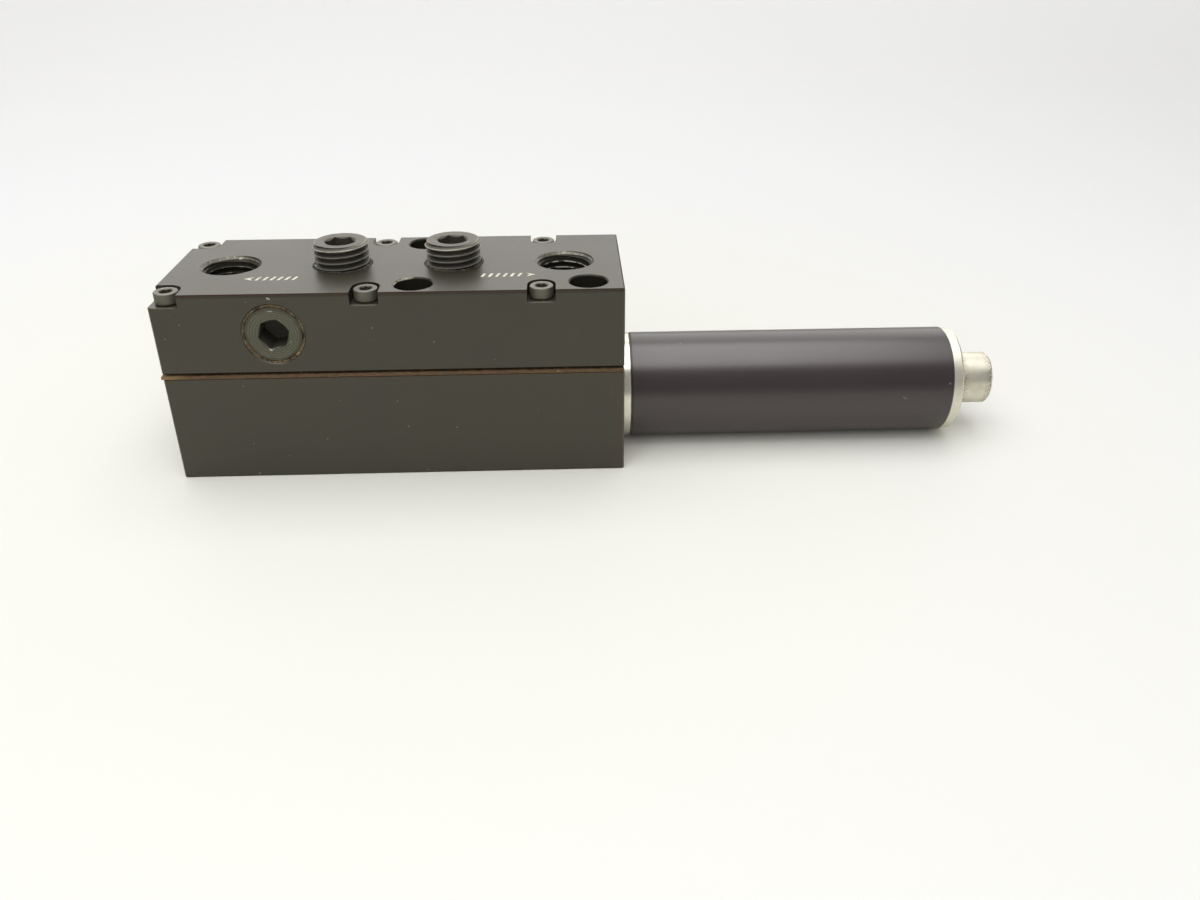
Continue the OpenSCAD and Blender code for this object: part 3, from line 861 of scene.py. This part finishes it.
def socket_rows(angles, turn, across_flats, depth, lead_in, face, drill=1.2 * MM):
    """Rows from the flat face down into a hexagon socket with a conical lead-in."""
    from_side = (angles - turn) % (math.pi / 3) - math.pi / 6
    hexagon = across_flats / 2 / np.cos(from_side)
    wide = across_flats / 2 + lead_in
    return [
        (wide + 0.08 * MM, face), (wide, face - 0.03 * MM), (hexagon, face - (wide - hexagon)),
        (hexagon, face - depth), (across_flats * 0.47, face - depth), (0.05 * MM, face - depth - drill)]


def plug_mesh(name, foot, face, crest, face_radius, turn, lead_in, fade=0.0, taper=1 / 32):
    """A threaded plug from foot to face, with the block's surface at height 0. fade is the length
    below the face over which the thread runs out."""
    angles = column_angles(turn)

    def radius_at(height, shape):
        """The thread's radius, cut off by the chamfers at the face and at the foot."""
        cut = PLUG_ROOT * shape
        if fade:
            cut = cut * np.clip((face - height) / fade - 0.6, 0, 1)
        radius = crest + taper * (height - max(face, 0)) - cut
        chamfer = face_radius + np.sqrt(np.clip(face - height, 0, None) * 1.1 * MM) * 0.9
        return np.minimum(np.minimum(radius, chamfer), FOOT_RADIUS + (height - foot) * 1.2)

    ahead = ((FRONT_ANGLE - turn) % FULL_TURN) / FULL_TURN
    phase = face - FIRST_CREST - THREAD_PITCH * ahead
    rows = thread_rows(foot, face, THREAD_PITCH, phase, COLUMNS, radius_at)
    threaded = len(rows)
    rows += [(face_radius - 0.25 * MM, face + 0.02 * MM)]
    rows += socket_rows(angles, turn, PLUG_KEY, 6 * MM, lead_in, face)
    return spin(name, rows, angles, threaded)


print("plugs can be cut")

# %% [markdown]
# The two top plugs stand out of the block and show almost four turns. The left one has a
# painted highlight low on its thread, and the right one's face a spot of rust. The third plug is
# flush with the front face, and has painted highlights on its face: three by the lower corner of
# its socket and one near the top of its rim.

# %% Build the plugs
SILVER = (0.85, 0.85, 0.78, 1)
# The mark low on the left plug's thread and the marks on the flush plug's face are painted highlights. The
# one on the right plug is rust.
LAST_TURN_GLINT = ((-6.1, -2.4, -5.2), (0.4, 0.7, 0.3), 0.8, SILVER)
RUST_SPOT = ((-4.9, -0.9, 0), (0.5, 0.55, 0.3), 0.75, (0.26, 0.11, 0.05, 1))
FACE_GLINTS = [
    ((0.05, 0, 5.45), (0.6, 0.3, 0.14), 0.35, SILVER),
    ((-1.0, 0.1, -3.8), (0.32, 0.3, 0.17), 0.9, SILVER),
    ((-1.35, 0.1, -3.55), (0.16, 0.3, 0.16), 0.7, SILVER),
    ((-0.45, 0.1, -3.45), (0.2, 0.3, 0.12), 0.3, SILVER)]

for side, turn, glints_and_rust in (("left", 0.0, [LAST_TURN_GLINT]), ("right", math.radians(-8.5), [RUST_SPOT])):
    node = f"top_plug_{side}"
    low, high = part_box(node)
    centre = middle(node)
    mesh = plug_mesh(
        f"{side}_plug", low.z - top, high.z - top - 0.03 * MM, (high.x - low.x) / 2, 5.95 * MM, turn,
        0.52 * MM)
    steel = dark_steel(
        f"steel_{side}_plug", Vector((centre.x, centre.y, high.z)), ACROSS_Z, (6.2 * MM, 6.55 * MM),
        PLUG_COAT, 3.74 * MM, (0.1 * MM, 0.45 * MM), rim=6.0 * MM, glints_and_rust=glints_and_rust,
        face_depth=(0.08 * MM, 0.3 * MM))
    put(f"{side}_plug", mesh, steel, Vector((centre.x, centre.y, top)), [node])

low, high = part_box("front_plug")
centre = middle("front_plug")
facing_front = Matrix.Rotation(math.pi / 2, 4, "X")
flush_at = Vector((centre.x, front, centre.z))
mesh = plug_mesh(
    "flush_plug", front - high.y, front - low.y, 6.4 * MM, 6.05 * MM, math.radians(13), 0.3 * MM,
    fade=1.0 * MM, taper=0)
steel = dark_steel(
    "steel_flush_plug", flush_at, ACROSS_Y, (6.2 * MM, 6.6 * MM), FLUSH_COAT, 3.9 * MM, (0.3 * MM, 1.0 * MM),
    pitch=0.6 * MM, marks=0.46, rust=0.85, rust_from=5.8 * MM, glints_and_rust=FACE_GLINTS)
put("flush_plug", mesh, steel, flush_at, ["front_plug"], facing_front)

# %% [markdown]
# ## Threads inside the open ports
# An open port shows its chamfered mouth and the first turns of its thread. The CAD wall
# stands at the thread's outer radius, so the thread is a sleeve that grows inwards from
# it. The mouth's cone goes on through the first turns and cuts their crests off. Fittings
# have chipped the crests bare, in the right port more than in the left one.

# %% Thread sleeves
ROOT_DEPTH = 0.95 * MM
SLEEVE = 0.05 * MM


def port_thread(name, mouth, wall, depth, pitch, start):
    """A sleeve with an inner thread, from just below a chamfered mouth down to depth."""
    high = -(mouth - wall)

    def radius_at(height, shape):
        """The thread's radius, cut off by the mouth's cone."""
        thread = wall - ROOT_DEPTH * (1 - shape)
        return np.minimum(np.maximum(thread, mouth + height * 0.8), wall)

    rows = thread_rows(-depth, high, pitch, start, COLUMNS, radius_at)
    threaded = len(rows)
    rows += [(wall + SLEEVE, high), (wall + SLEEVE, -depth)]
    return spin(name, rows, column_angles(), threaded, loop=True)


def thread_finish(name, at, crest_radius, chipped):
    """The block's finish, painted black as shade deep in the thread and chipped bare along its crests."""

    def crests(tree):
        """Bare spots on the crests."""
        radius = place_group(tree, tool_marks, Centre=at, Across=ACROSS_Z)["Radius"]
        line = ramp(tree, radius, crest_radius + 0.03 * MM, crest_radius + 0.16 * MM, 1.0, 0.0)
        chips = place_group(tree, grain, Fine_scale=1500.0, Broad_scale=600.0)["Broad"]
        bare = ramp(tree, chips, 0.62 - chipped * 0.2, 0.7 - chipped * 0.2, 0.06, chipped)
        return times(tree, line, bare)

    def flanks(tree):
        """Painted shade below the mouth: the thread is painted black and mirrors nothing there, and only its
        crests stay a little shiny.
        """
        marks = place_group(tree, tool_marks, Centre=at, Across=ACROSS_Z)
        deep = ramp(tree, marks["Depth"], 1.15 * MM, 1.45 * MM)
        shape = ramp(tree, marks["Radius"], crest_radius + 0.02 * MM, crest_radius + 0.1 * MM, 0.55, 1.0)
        return times(tree, deep, shape)

    return anodised_block(name, upper_low, upper_high, MAROON, crests, flanks)


print("sleeves can be cut")

# %% Build the port threads
for name, chipped in (("vacuum_port_left", 0.4), ("vacuum_port_right", 1.0)):
    wall = mounts[name]["dims"]["r_mm"] * MM
    at = port_centre(name)
    mesh = port_thread(name + "_thread", wall + 0.65 * MM, wall, 9.2 * MM, THREAD_PITCH, PORT_CRESTS[name])
    inside = thread_finish(name + "_finish", at, wall - ROOT_DEPTH, chipped)
    put(name + "_thread", mesh, inside, at)

INLET_PITCH = 25.4 / 27 * MM
inlet = mounts["air_inlet"]
wall = inlet["dims"]["r_mm"] * MM
at = Vector((left, inlet["pos_m"][1], inlet["pos_m"][2]))
facing_left = Matrix.Rotation(-math.pi / 2, 4, "Y")
mesh = port_thread("air_inlet_thread", wall + 0.7 * MM, wall, 10.5 * MM, INLET_PITCH, 0.2 * MM)
put("air_inlet_thread", mesh, inside, at, turn=facing_left)

# %% [markdown]
# ## Cover screws
# Six M3 socket cap screws hold the blocks together. A round head with a softly rounded
# upper edge catches light in a thin ring, which a sharp cylinder never does. Each was
# tightened to its own angle, so their sockets all point another way.

# %% Build the screws
SCREW_KEY = 2.5 * MM
SCREW_RADIUS = 1.5 * MM
EDGE = 0.3 * MM
SCREW_TURNS = (12, 35, 5, 50, 22, 41)


def screw_mesh(name, head_radius, shank_length, turn):
    """A socket cap screw with its seat at height 0 and a tapered lower edge."""
    angles = column_angles(turn)
    rows = [
        (SCREW_RADIUS - EDGE, -shank_length), (SCREW_RADIUS, -shank_length + EDGE), (SCREW_RADIUS, 0),
        (head_radius - EDGE, 0), (head_radius, 0.35 * MM)]
    for step in range(6):
        around = math.pi / 2 * step / 5
        rows.append((
            head_radius - EDGE * (1 - math.cos(around)), HEAD_HEIGHT - EDGE * (1 - math.sin(around))))
    rows += socket_rows(angles, turn, SCREW_KEY, 1.6 * MM, 0.3 * MM, HEAD_HEIGHT, drill=0.4 * MM)
    return spin(name, rows, angles)


for number, turn in enumerate(SCREW_TURNS, 1):
    node = f"cover_screw_{number}"
    low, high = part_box(node)
    face_at = Vector((middle(node).x, middle(node).y, high.z))
    seat = face_at - Vector((0, 0, HEAD_HEIGHT))
    mesh = screw_mesh(f"screw_{number}", (high.x - low.x) / 2, seat.z - low.z, math.radians(turn))
    steel = dark_steel(
        f"steel_screw_{number}", face_at, ACROSS_Z, (3 * MM, 4 * MM), SCREW_COAT, 1.56 * MM,
        (-0.1 * MM, 0.12 * MM))
    put(f"screw_{number}", mesh, steel, seat, [node])

# %% [markdown]
# ## Fibre
# The gasket is brown fibre sheet. Its finish is matt, with darker pressed fibres that run
# along the sheet, pale threads where the cut has opened it, and a golden left tip.

# %% Finish: fibre gasket
fibre, tree, shader = start_material("fibre")
place = place_of(tree)
lying = vector_calc(tree, "MULTIPLY", place, (700.0, 700.0, 5200.0))
fibres = add(
    tree, "ShaderNodeTexNoise", {"Vector": lying, "Scale": 1.0, "Detail": 5.0, "Distortion": 0.4}).outputs[0]
patches = place_group(tree, grain, Fine_scale=2400.0, Broad_scale=300.0)
dust = place_group(tree, specks, Scale=800.0, Share=0.12, Size=0.3)["Mask"]
tip = ramp(tree, split_up(tree, place)[0], left, left + 7 * MM, 0.5, 0.0)
base = lay_over(
    tree, (0.063, 0.036, 0.016, 1),
    (ramp(tree, fibres, 0.3, 0.7), 1, (0.146, 0.090, 0.045, 1)),
    (ramp(tree, patches["Broad"], 0.5, 0.72), 1, (0.085, 0.062, 0.039, 1)),
    (tip, 1, (0.31, 0.21, 0.10, 1)),
    (dust, 0.6, (0.33, 0.24, 0.15, 1)))
wire(tree, shader, Base_Color=base, Roughness=scaled(tree, fibres, 0.15, 0.78))
set_bump(tree, shader, calc(tree, "ADD", fibres, times(tree, patches["Fine"], 0.5)), 0.06 * MM)
print("fibre mixed")

# %% [markdown]
# ## The gasket
# The sheet was cut a little too large, and its edge is torn and uneven. A flat curve with
# many outlines fills itself and leaves the holes open, and the outer outline wanders by one
# or two tenths of a millimetre, which the plain CAD sheet doesn't do. The curve is turned
# into a mesh at the end. There are two layers: the upper one has shrunk back, which leaves
# a dark gap.

# %% Outlines


def wandering(count, size, seed):
    """Smooth random numbers from 0 to size, one for each of count places."""
    numbers = np.random.default_rng(seed).random(count)
    for _ in range(2):
        numbers = (np.roll(numbers, 1) + 2 * numbers + np.roll(numbers, -1)) / 4
    return size * (numbers - numbers.min()) / (numbers.max() - numbers.min())


def torn_outline(low, high, step, torn):
    """Points round a rectangle, each pulled inwards by a little less or more."""
    corners = [(low.x, low.y), (high.x, low.y), (high.x, high.y), (low.x, high.y)]
    points = []
    for (x0, y0), (x1, y1) in zip(corners, corners[1:] + corners[:1]):
        count = round(math.hypot(x1 - x0, y1 - y0) / step)
        points += [(x0 + (x1 - x0) * i / count, y0 + (y1 - y0) * i / count) for i in range(count)]
    pull = wandering(len(points), torn, 3)

    def pulled(value, start, end, by):
        """The value, moved inwards if it lies at one end of its range."""
        centre = (start + end) / 2
        return value - math.copysign(by, value - centre) * (abs(value - centre) > end - centre - 0.1 * MM)

    return [(pulled(x, low.x, high.x, p), pulled(y, low.y, high.y, p)) for (x, y), p in zip(points, pull)]


def round_outline(x, y, radius, count=40):
    """Points round a circle."""
    turns = [FULL_TURN * i / count for i in range(count)]
    return [(x + radius * math.cos(t), y + radius * math.sin(t)) for t in turns]


def slot_outline(low, high, corner, count=8):
    """Points round a rectangle with rounded corners."""
    points = []
    for index, (x, y) in enumerate(((high.x, high.y), (low.x, high.y), (low.x, low.y), (high.x, low.y))):
        inward = (-1 if x == high.x else 1, -1 if y == high.y else 1)
        for step in range(count + 1):
            around = math.pi / 2 * (index + step / count)
            points.append((
                x + corner * (inward[0] + math.cos(around)), y + corner * (inward[1] + math.sin(around))))
    return points


plate_low, plate_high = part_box("valve_plate")
rim = Vector((1, 1.5, 0)) * MM
holes = [slot_outline(plate_low + rim, plate_high - rim, 4 * MM)]
for number in range(1, 7):
    screw_at = middle(f"cover_screw_{number}")
    holes.append(round_outline(screw_at.x, screw_at.y, 1.7 * MM))
holes += [round_outline(x, y, 2.95 * MM) for x, y in MOUNTING_HOLES]
print("holes in the gasket:", len(holes))

# %% Build the gasket
gasket_low, gasket_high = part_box("gasket")


def sheet_layer(name, outer, low, high):
    """A flat layer of the gasket with the given outer outline, from height low to high."""
    sheet = bpy.data.curves.new(name, "CURVE")
    sheet.dimensions = "2D"
    sheet.fill_mode = "BOTH"
    sheet.extrude = (high - low) / 2
    for outline in [outer] + holes:
        spline = sheet.splines.new("POLY")
        spline.points.add(len(outline) - 1)
        for point, (x, y) in zip(spline.points, outline):
            point.co = (x, y, 0, 1)
        spline.use_cyclic_u = True
    shape = bpy.data.objects.new(name, sheet)
    mesh = bpy.data.meshes.new_from_object(shape)
    bpy.data.objects.remove(shape)
    clean(mesh)
    return put(name, mesh, fibre, Vector((0, 0, (high + low) / 2)))


split = gasket_low.z + 0.74 * MM
inset = Vector((1, 1, 0)) * 1.1 * MM
torn_edge = torn_outline(gasket_low, gasket_high, 0.35 * MM, 0.11 * MM)
shrunk_edge = torn_outline(gasket_low + inset, gasket_high - inset, 0.5 * MM, 0.2 * MM)
proud = sheet_layer("gasket_edge", torn_edge, gasket_low.z, split)
sheet_layer("gasket_top", shrunk_edge, split, gasket_high.z)
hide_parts("gasket")
print("gasket split at", round(split / MM, 2), "mm")

# %% [markdown]
# ## Rust round the flush plug
# Water has sat in the groove between the plug and the port's chamfer, and the groove is
# full of brown and orange scale. It is a ring with a lumpy section: each point of a torus
# is moved by smooth random numbers, and the lower right grew the most. Four small ochre
# spots lie on it.

# %% Build the rust ring


def lumpy_ring(name, radius, thick, high, lumps, seed, heavy_angle, extra):
    """A ring of crust round the Z axis, thicker by the share extra on the side of heavy_angle."""
    columns, section = 240, 14
    angles = FULL_TURN * np.arange(columns) / columns
    heavy = 1 + extra * np.clip(np.cos(angles - heavy_angle), 0, 1) ** 2
    rows = []
    for step in range(section):
        around = FULL_TURN * step / section
        bumps = 1 - lumps * wandering(columns, 1.0, seed + step) - lumps * wandering(columns, 1.0, seed)
        rows.append((
            radius + thick * math.cos(around) * bumps * heavy, high * math.sin(around) * bumps * heavy))
    return spin(name, rows, angles, loop=True)


made, tree, shader = start_material("rust_scale")
texture = place_group(tree, grain, Fine_scale=3400.0, Broad_scale=520.0)
from_axis = place_group(tree, tool_marks, Centre=flush_at, Across=ACROSS_Y)["Radius"]
from_axis = scaled(tree, texture["Broad"], 0.9 * MM, from_axis)
outer = ramp(tree, from_axis, 6.75 * MM, 7.0 * MM)
scale = lay_over(
    tree, (0.028, 0.017, 0.010, 1),
    (ramp(tree, texture["Broad"], 0.42, 0.56), 1, (0.105, 0.075, 0.036, 1)),
    (ramp(tree, texture["Fine"], 0.52, 0.62), 0.6, (0.24, 0.19, 0.10, 1)))
# The ring is darker on its inner side, towards the plug.
base = blend_colour(tree, outer, (0.018, 0.010, 0.006, 1), scale)
for degrees, radius, strength in ((-44, 0.7, 0.6), (-60, 0.4, 0.35), (-96, 0.45, 0.4), (62, 0.4, 0.3)):
    around = math.radians(degrees)
    spot_at = flush_at + Vector((math.cos(around), 0, math.sin(around))) * 6.85 * MM
    base = lay_over(tree, base, (spot_mask(tree, spot_at, radius * MM), strength, (0.36, 0.26, 0.11, 1)))
wire(tree, shader, Base_Color=base, Roughness=scaled(tree, texture["Broad"], 0.2, 0.62))
set_bump(tree, shader, calc(tree, "ADD", texture["Fine"], texture["Broad"]), 0.09 * MM)
mesh = lumpy_ring("rust_ring", 6.78 * MM, 0.64 * MM, 0.36 * MM, 0.42, 20, math.radians(-50), 0.25)
ring_at = flush_at + Vector((0, 0.42 * MM, 0))
put("rust_ring", mesh, made, ring_at, turn=facing_front)

# %% [markdown]
# ## Sealant under the top plugs
# A little dark grey sealant was squeezed out where the two top plugs enter the block. It
# is the same lumpy ring, but a thinner one, and it is thickest on the right.

# %% Build the sealant
made, tree, shader = start_material("sealant")
texture = place_group(tree, grain, Fine_scale=2800.0, Broad_scale=640.0)
patches = ramp(tree, texture["Broad"], 0.36, 0.6)
base = blend_colour(tree, patches, (0.022, 0.019, 0.015, 1), (0.075, 0.068, 0.054, 1))
wire(tree, shader, Base_Color=base, Roughness=scaled(tree, texture["Fine"], 0.3, 0.35))
set_bump(tree, shader, calc(tree, "ADD", texture["Fine"], texture["Broad"]), 0.1 * MM)
for side, seed in (("left", 60), ("right", 90)):
    centre = middle(f"top_plug_{side}")
    mesh = lumpy_ring(
        f"sealant_{side}", 6.72 * MM, 0.26 * MM, 0.24 * MM, 0.55, seed, math.radians(-12), 0.55)
    put(f"sealant_{side}", mesh, made, Vector((centre.x, centre.y, top + 0.02 * MM)))

# %% [markdown]
# ## Port marks
# Each vacuum port has a pale mark printed beside it. These are generic: slanted bars
# and an arrowhead that points to the port. Ink is a thin layer, so each mark is a flat
# prism two hundredths of a millimetre high.

# %% Build the port marks
INK_HEIGHT = 0.02 * MM
MARK_LENGTH = 12.6 * MM
LETTER_HEIGHT = 2.2 * MM
ARROWHEAD = 2.6 * MM
BARS = 6
BAR_WIDTH = 0.62 * MM
LEAN = 0.6 * MM


def port_mark(name, at, direction):
    """Slanted bars with an arrowhead at the end that direction (-1 or 1) points to."""
    step = (MARK_LENGTH - ARROWHEAD) / BARS
    shapes = []
    for bar in range(BARS):
        x = -MARK_LENGTH / 2 + step * bar + (ARROWHEAD if direction < 0 else 0)
        end = x + BAR_WIDTH
        shapes.append([(x, 0), (end, 0), (end + LEAN, LETTER_HEIGHT), (x + LEAN, LETTER_HEIGHT)])
    tip = direction * MARK_LENGTH / 2
    back = tip - direction * (ARROWHEAD - 0.5 * MM)
    notch = back + direction * 0.7 * MM
    shapes.append([(tip, LETTER_HEIGHT / 2), (back, LETTER_HEIGHT), (notch, LETTER_HEIGHT / 2), (back, 0)])
    points, faces = [], []
    for outline in shapes:
        first, count = len(points), len(outline)
        points += [(x, y, 0) for x, y in outline] + [(x, y, INK_HEIGHT) for x, y in outline]
        sides = [[i, (i + 1) % count, (i + 1) % count + count, i + count] for i in range(count)]
        for face in (list(range(count))[::-1], list(range(count, 2 * count)), *sides):
            faces.append([first + i for i in face])
    mesh = bpy.data.meshes.new(name)
    mesh.from_pydata(points, [], faces)
    clean(mesh)
    return put(name, mesh, ink, at)


ink, tree, shader = start_material("pale_ink")
texture = place_group(tree, grain, Fine_scale=2600.0, Broad_scale=500.0)
rubbed = ramp(tree, texture["Fine"], 0.36, 0.5)
base = blend_colour(tree, rubbed, (0.34, 0.33, 0.28, 1), (0.78, 0.77, 0.66, 1))
wire(tree, shader, Base_Color=base, Roughness=scaled(tree, texture["Broad"], 0.2, 0.5))
set_bump(tree, shader, texture["Fine"], 0.005 * MM)
mark_y = front + 9.15 * MM
port_mark("mark_left", Vector((port_centre("vacuum_port_left").x + 11.9 * MM, mark_y, top)), -1)
port_mark("mark_right", Vector((port_centre("vacuum_port_right").x - 13.0 * MM, mark_y, top)), 1)

# %% [markdown]
# ## Inner pieces
# Nozzles, seals, valve plate, core and foam are out of sight, but a finish costs little
# and a cut-away view may show them. Each is one small function call.

# %% Finish: inner pieces


def inner_finish(name, colour, other, metallic, roughness, scale):
    """A plain finish with grain: two colours, mixed by a broad noise."""
    made, tree, shader = start_material(name, Metallic=metallic)
    texture = place_group(tree, grain, Fine_scale=scale, Broad_scale=scale / 12)
    base = blend_colour(tree, texture["Broad"], colour, other)
    wire(tree, shader, Base_Color=base, Roughness=scaled(tree, texture["Fine"], 0.16, roughness))
    set_bump(tree, shader, texture["Fine"], 0.02 * MM)
    return made


brass = inner_finish("brass", (0.60, 0.42, 0.17, 1), (0.72, 0.53, 0.24, 1), 1.0, 0.24, 2400.0)
rubber = inner_finish("rubber", (0.018, 0.018, 0.018, 1), (0.035, 0.034, 0.033, 1), 0.0, 0.6, 3000.0)
plate = inner_finish("plate", (0.62, 0.63, 0.64, 1), (0.74, 0.75, 0.76, 1), 1.0, 0.3, 2200.0)
core = inner_finish("core_steel", (0.42, 0.43, 0.43, 1), (0.55, 0.56, 0.57, 1), 1.0, 0.28, 2600.0)
foam = inner_finish("foam", (0.17, 0.17, 0.15, 1), (0.29, 0.28, 0.26, 1), 0.0, 0.8, 1300.0)
INNER = {
    brass: ["supply_nozzle", "second_nozzle", "third_nozzle", "diffuser_nozzle"],
    rubber: [f"nozzle_seal_{n}" for n in range(1, 5)] + ["flap_valve_1", "flap_valve_2"],
    plate: ["valve_plate"], core: ["silencer_core"], foam: ["silencer_foam"]}
for material, names in INNER.items():
    for name in names:
        paint(name, material)
print("inner pieces painted")

# %% [markdown]
# ## Table
# The part lies on a plain white table whose far side bends up into a backdrop. The table
# looks whiter to the camera than it shines on the part, through Light Path's Is Camera
# Ray. Far away, on every side, it also glows a little to the camera, because the lamps
# only light its middle.

# %% Floor and backdrop
SEEN = (0.84, 0.845, 0.80, 1)
SEEN_FAR = (0.86, 0.87, 0.895, 1)
SHINING = (0.755, 0.75, 0.70, 1)
FLOOR_END = 1.6
HALF_WIDTH = 2.4
BEND_RADIUS = 0.5
WALL_TOP = 1.5


def pale_surface(name):
    """White to the camera, glowing a little far away, and darker as a source of light."""
    made, tree, shader = start_material(
        name, Roughness=0.55, Specular_IOR_Level=0.2, Emission_Color=(1.0, 0.995, 0.985, 1))
    path = add(tree, "ShaderNodeLightPath").outputs
    texture = place_group(tree, grain, Fine_scale=900.0, Broad_scale=5.0)
    place = place_of(tree)
    x, y, _ = split_up(tree, place)
    behind = ramp(tree, y, 0.1, 1.5, 0.0, 0.5)
    before = ramp(tree, y, -1.6, -0.5, 0.62, 0.0)
    beside = ramp(tree, calc(tree, "ABSOLUTE", x), 0.5, 1.6, 0.0, 0.6)
    far = most(tree, behind, before, beside)
    away = vector_calc(tree, "LENGTH", place)
    shade = blend_colour(tree, ramp(tree, away, 0.06, 0.3), SEEN, SEEN_FAR)
    shade = lay_over(tree, shade, (texture["Broad"], 0.03, (0.5, 0.5, 0.5, 1)))
    base = blend_colour(tree, path["Is Camera Ray"], SHINING, shade)
    wire(tree, shader, Base_Color=base, Emission_Strength=times(tree, far, path["Is Camera Ray"]))
    return made


floor_mesh = bpy.data.meshes.new("table")
bend_from = FLOOR_END - BEND_RADIUS
profile = [(-FLOOR_END, 0.0), (bend_from, 0.0)]
for angle in np.linspace(0.1, math.pi / 2, 12):
    profile.append((bend_from + BEND_RADIUS * math.sin(angle), BEND_RADIUS - BEND_RADIUS * math.cos(angle)))
profile.append((FLOOR_END, WALL_TOP))
corners = [(x, y, z) for y, z in profile for x in (-HALF_WIDTH, HALF_WIDTH)]
quads = [[2 * i, 2 * i + 1, 2 * i + 3, 2 * i + 2] for i in range(len(profile) - 1)]
floor_mesh.from_pydata(corners, [], quads)
floor_mesh.shade_smooth()
floor_mesh.materials.append(pale_surface("table_top"))
table = bpy.data.objects.new("table", floor_mesh)
bpy.context.scene.collection.objects.link(table)
print("table ready")

# %% [markdown]
# ## Light
# A dark glossy part gets its shape from what it mirrors: a bright ceiling on its upper
# sides, a dark band, and the table's glow below. A rough white table wants something
# else, a soft shadow that is narrow in front. So the work is shared. The ceiling and the
# window are seen only in mirroring surfaces. Two fill lamps, one just below the ceiling
# and one high up behind the camera, light only rough surfaces. The world is dim for
# everything but the camera.

# %% Lights
CEILING = (-0.11, 0.0, 0.95)
BELOW_CEILING = (-0.11, 0.0, 0.93)
UNDER_CEILING = (-0.11, 0.0, 0)
CEILING_SIZE = (1.15, 1.14)
CEILING_BRIGHTNESS = 2.9
FRONT_SHARE = 0.45
FILL_ABOVE = CEILING_BRIGHTNESS * (1 - FRONT_SHARE) * 1.06
FILL_FRONT = CEILING_BRIGHTNESS * FRONT_SHARE * 1.26
WORLD_DIM = 0.32


def soft_light(name, at, aim, size, brightness, colour=(1.0, 0.985, 0.96)):
    """A rectangular lamp. brightness is how bright its face looks, 1 being white."""
    data = bpy.data.lights.new(name, "AREA")
    data.shape = "RECTANGLE"
    data.size, data.size_y = size
    data.energy = brightness * math.pi * size[0] * size[1]
    data.color = colour
    lamp = bpy.data.objects.new(name, data)
    bpy.context.scene.collection.objects.link(lamp)
    lamp.location = at
    lamp.rotation_euler = (Vector(at) - Vector(aim)).to_track_quat("Z", "Y").to_euler()
    lamp.visible_camera = False
    return lamp


ceiling = soft_light("ceiling", CEILING, UNDER_CEILING, CEILING_SIZE, CEILING_BRIGHTNESS)
window = soft_light("window", (0.0, 1.0, 0.62), (0, 0, 0.1), (2.2, 0.9), 1.3)
for lamp in (ceiling, window):
    lamp.visible_diffuse = False
above = soft_light("fill_above", BELOW_CEILING, UNDER_CEILING, CEILING_SIZE, FILL_ABOVE, (1.0, 0.99, 0.99))
before = soft_light("fill_front", (-0.05, -0.8, 0.8), (0, 0, 0), (1.2, 1.0), FILL_FRONT, (1.0, 0.98, 0.92))
for lamp in (above, before):
    lamp.visible_glossy = False

world = bpy.data.worlds.new("room")
world.use_nodes = True
bpy.context.scene.world = world
sky = world.node_tree
background = sky.nodes["Background"]
path = add(sky, "ShaderNodeLightPath").outputs
wire(sky, background, Strength=scaled(sky, path["Is Camera Ray"], 1 - WORLD_DIM, WORLD_DIM))
background.inputs["Color"].default_value = (1.0, 0.985, 0.95, 1)
print("lights ready")

# %% [markdown]
# ## Finish
# The view transform is Standard, so a colour comes out as it is written.

# %% Finish
bpy.context.scene.view_settings.view_transform = "Standard"
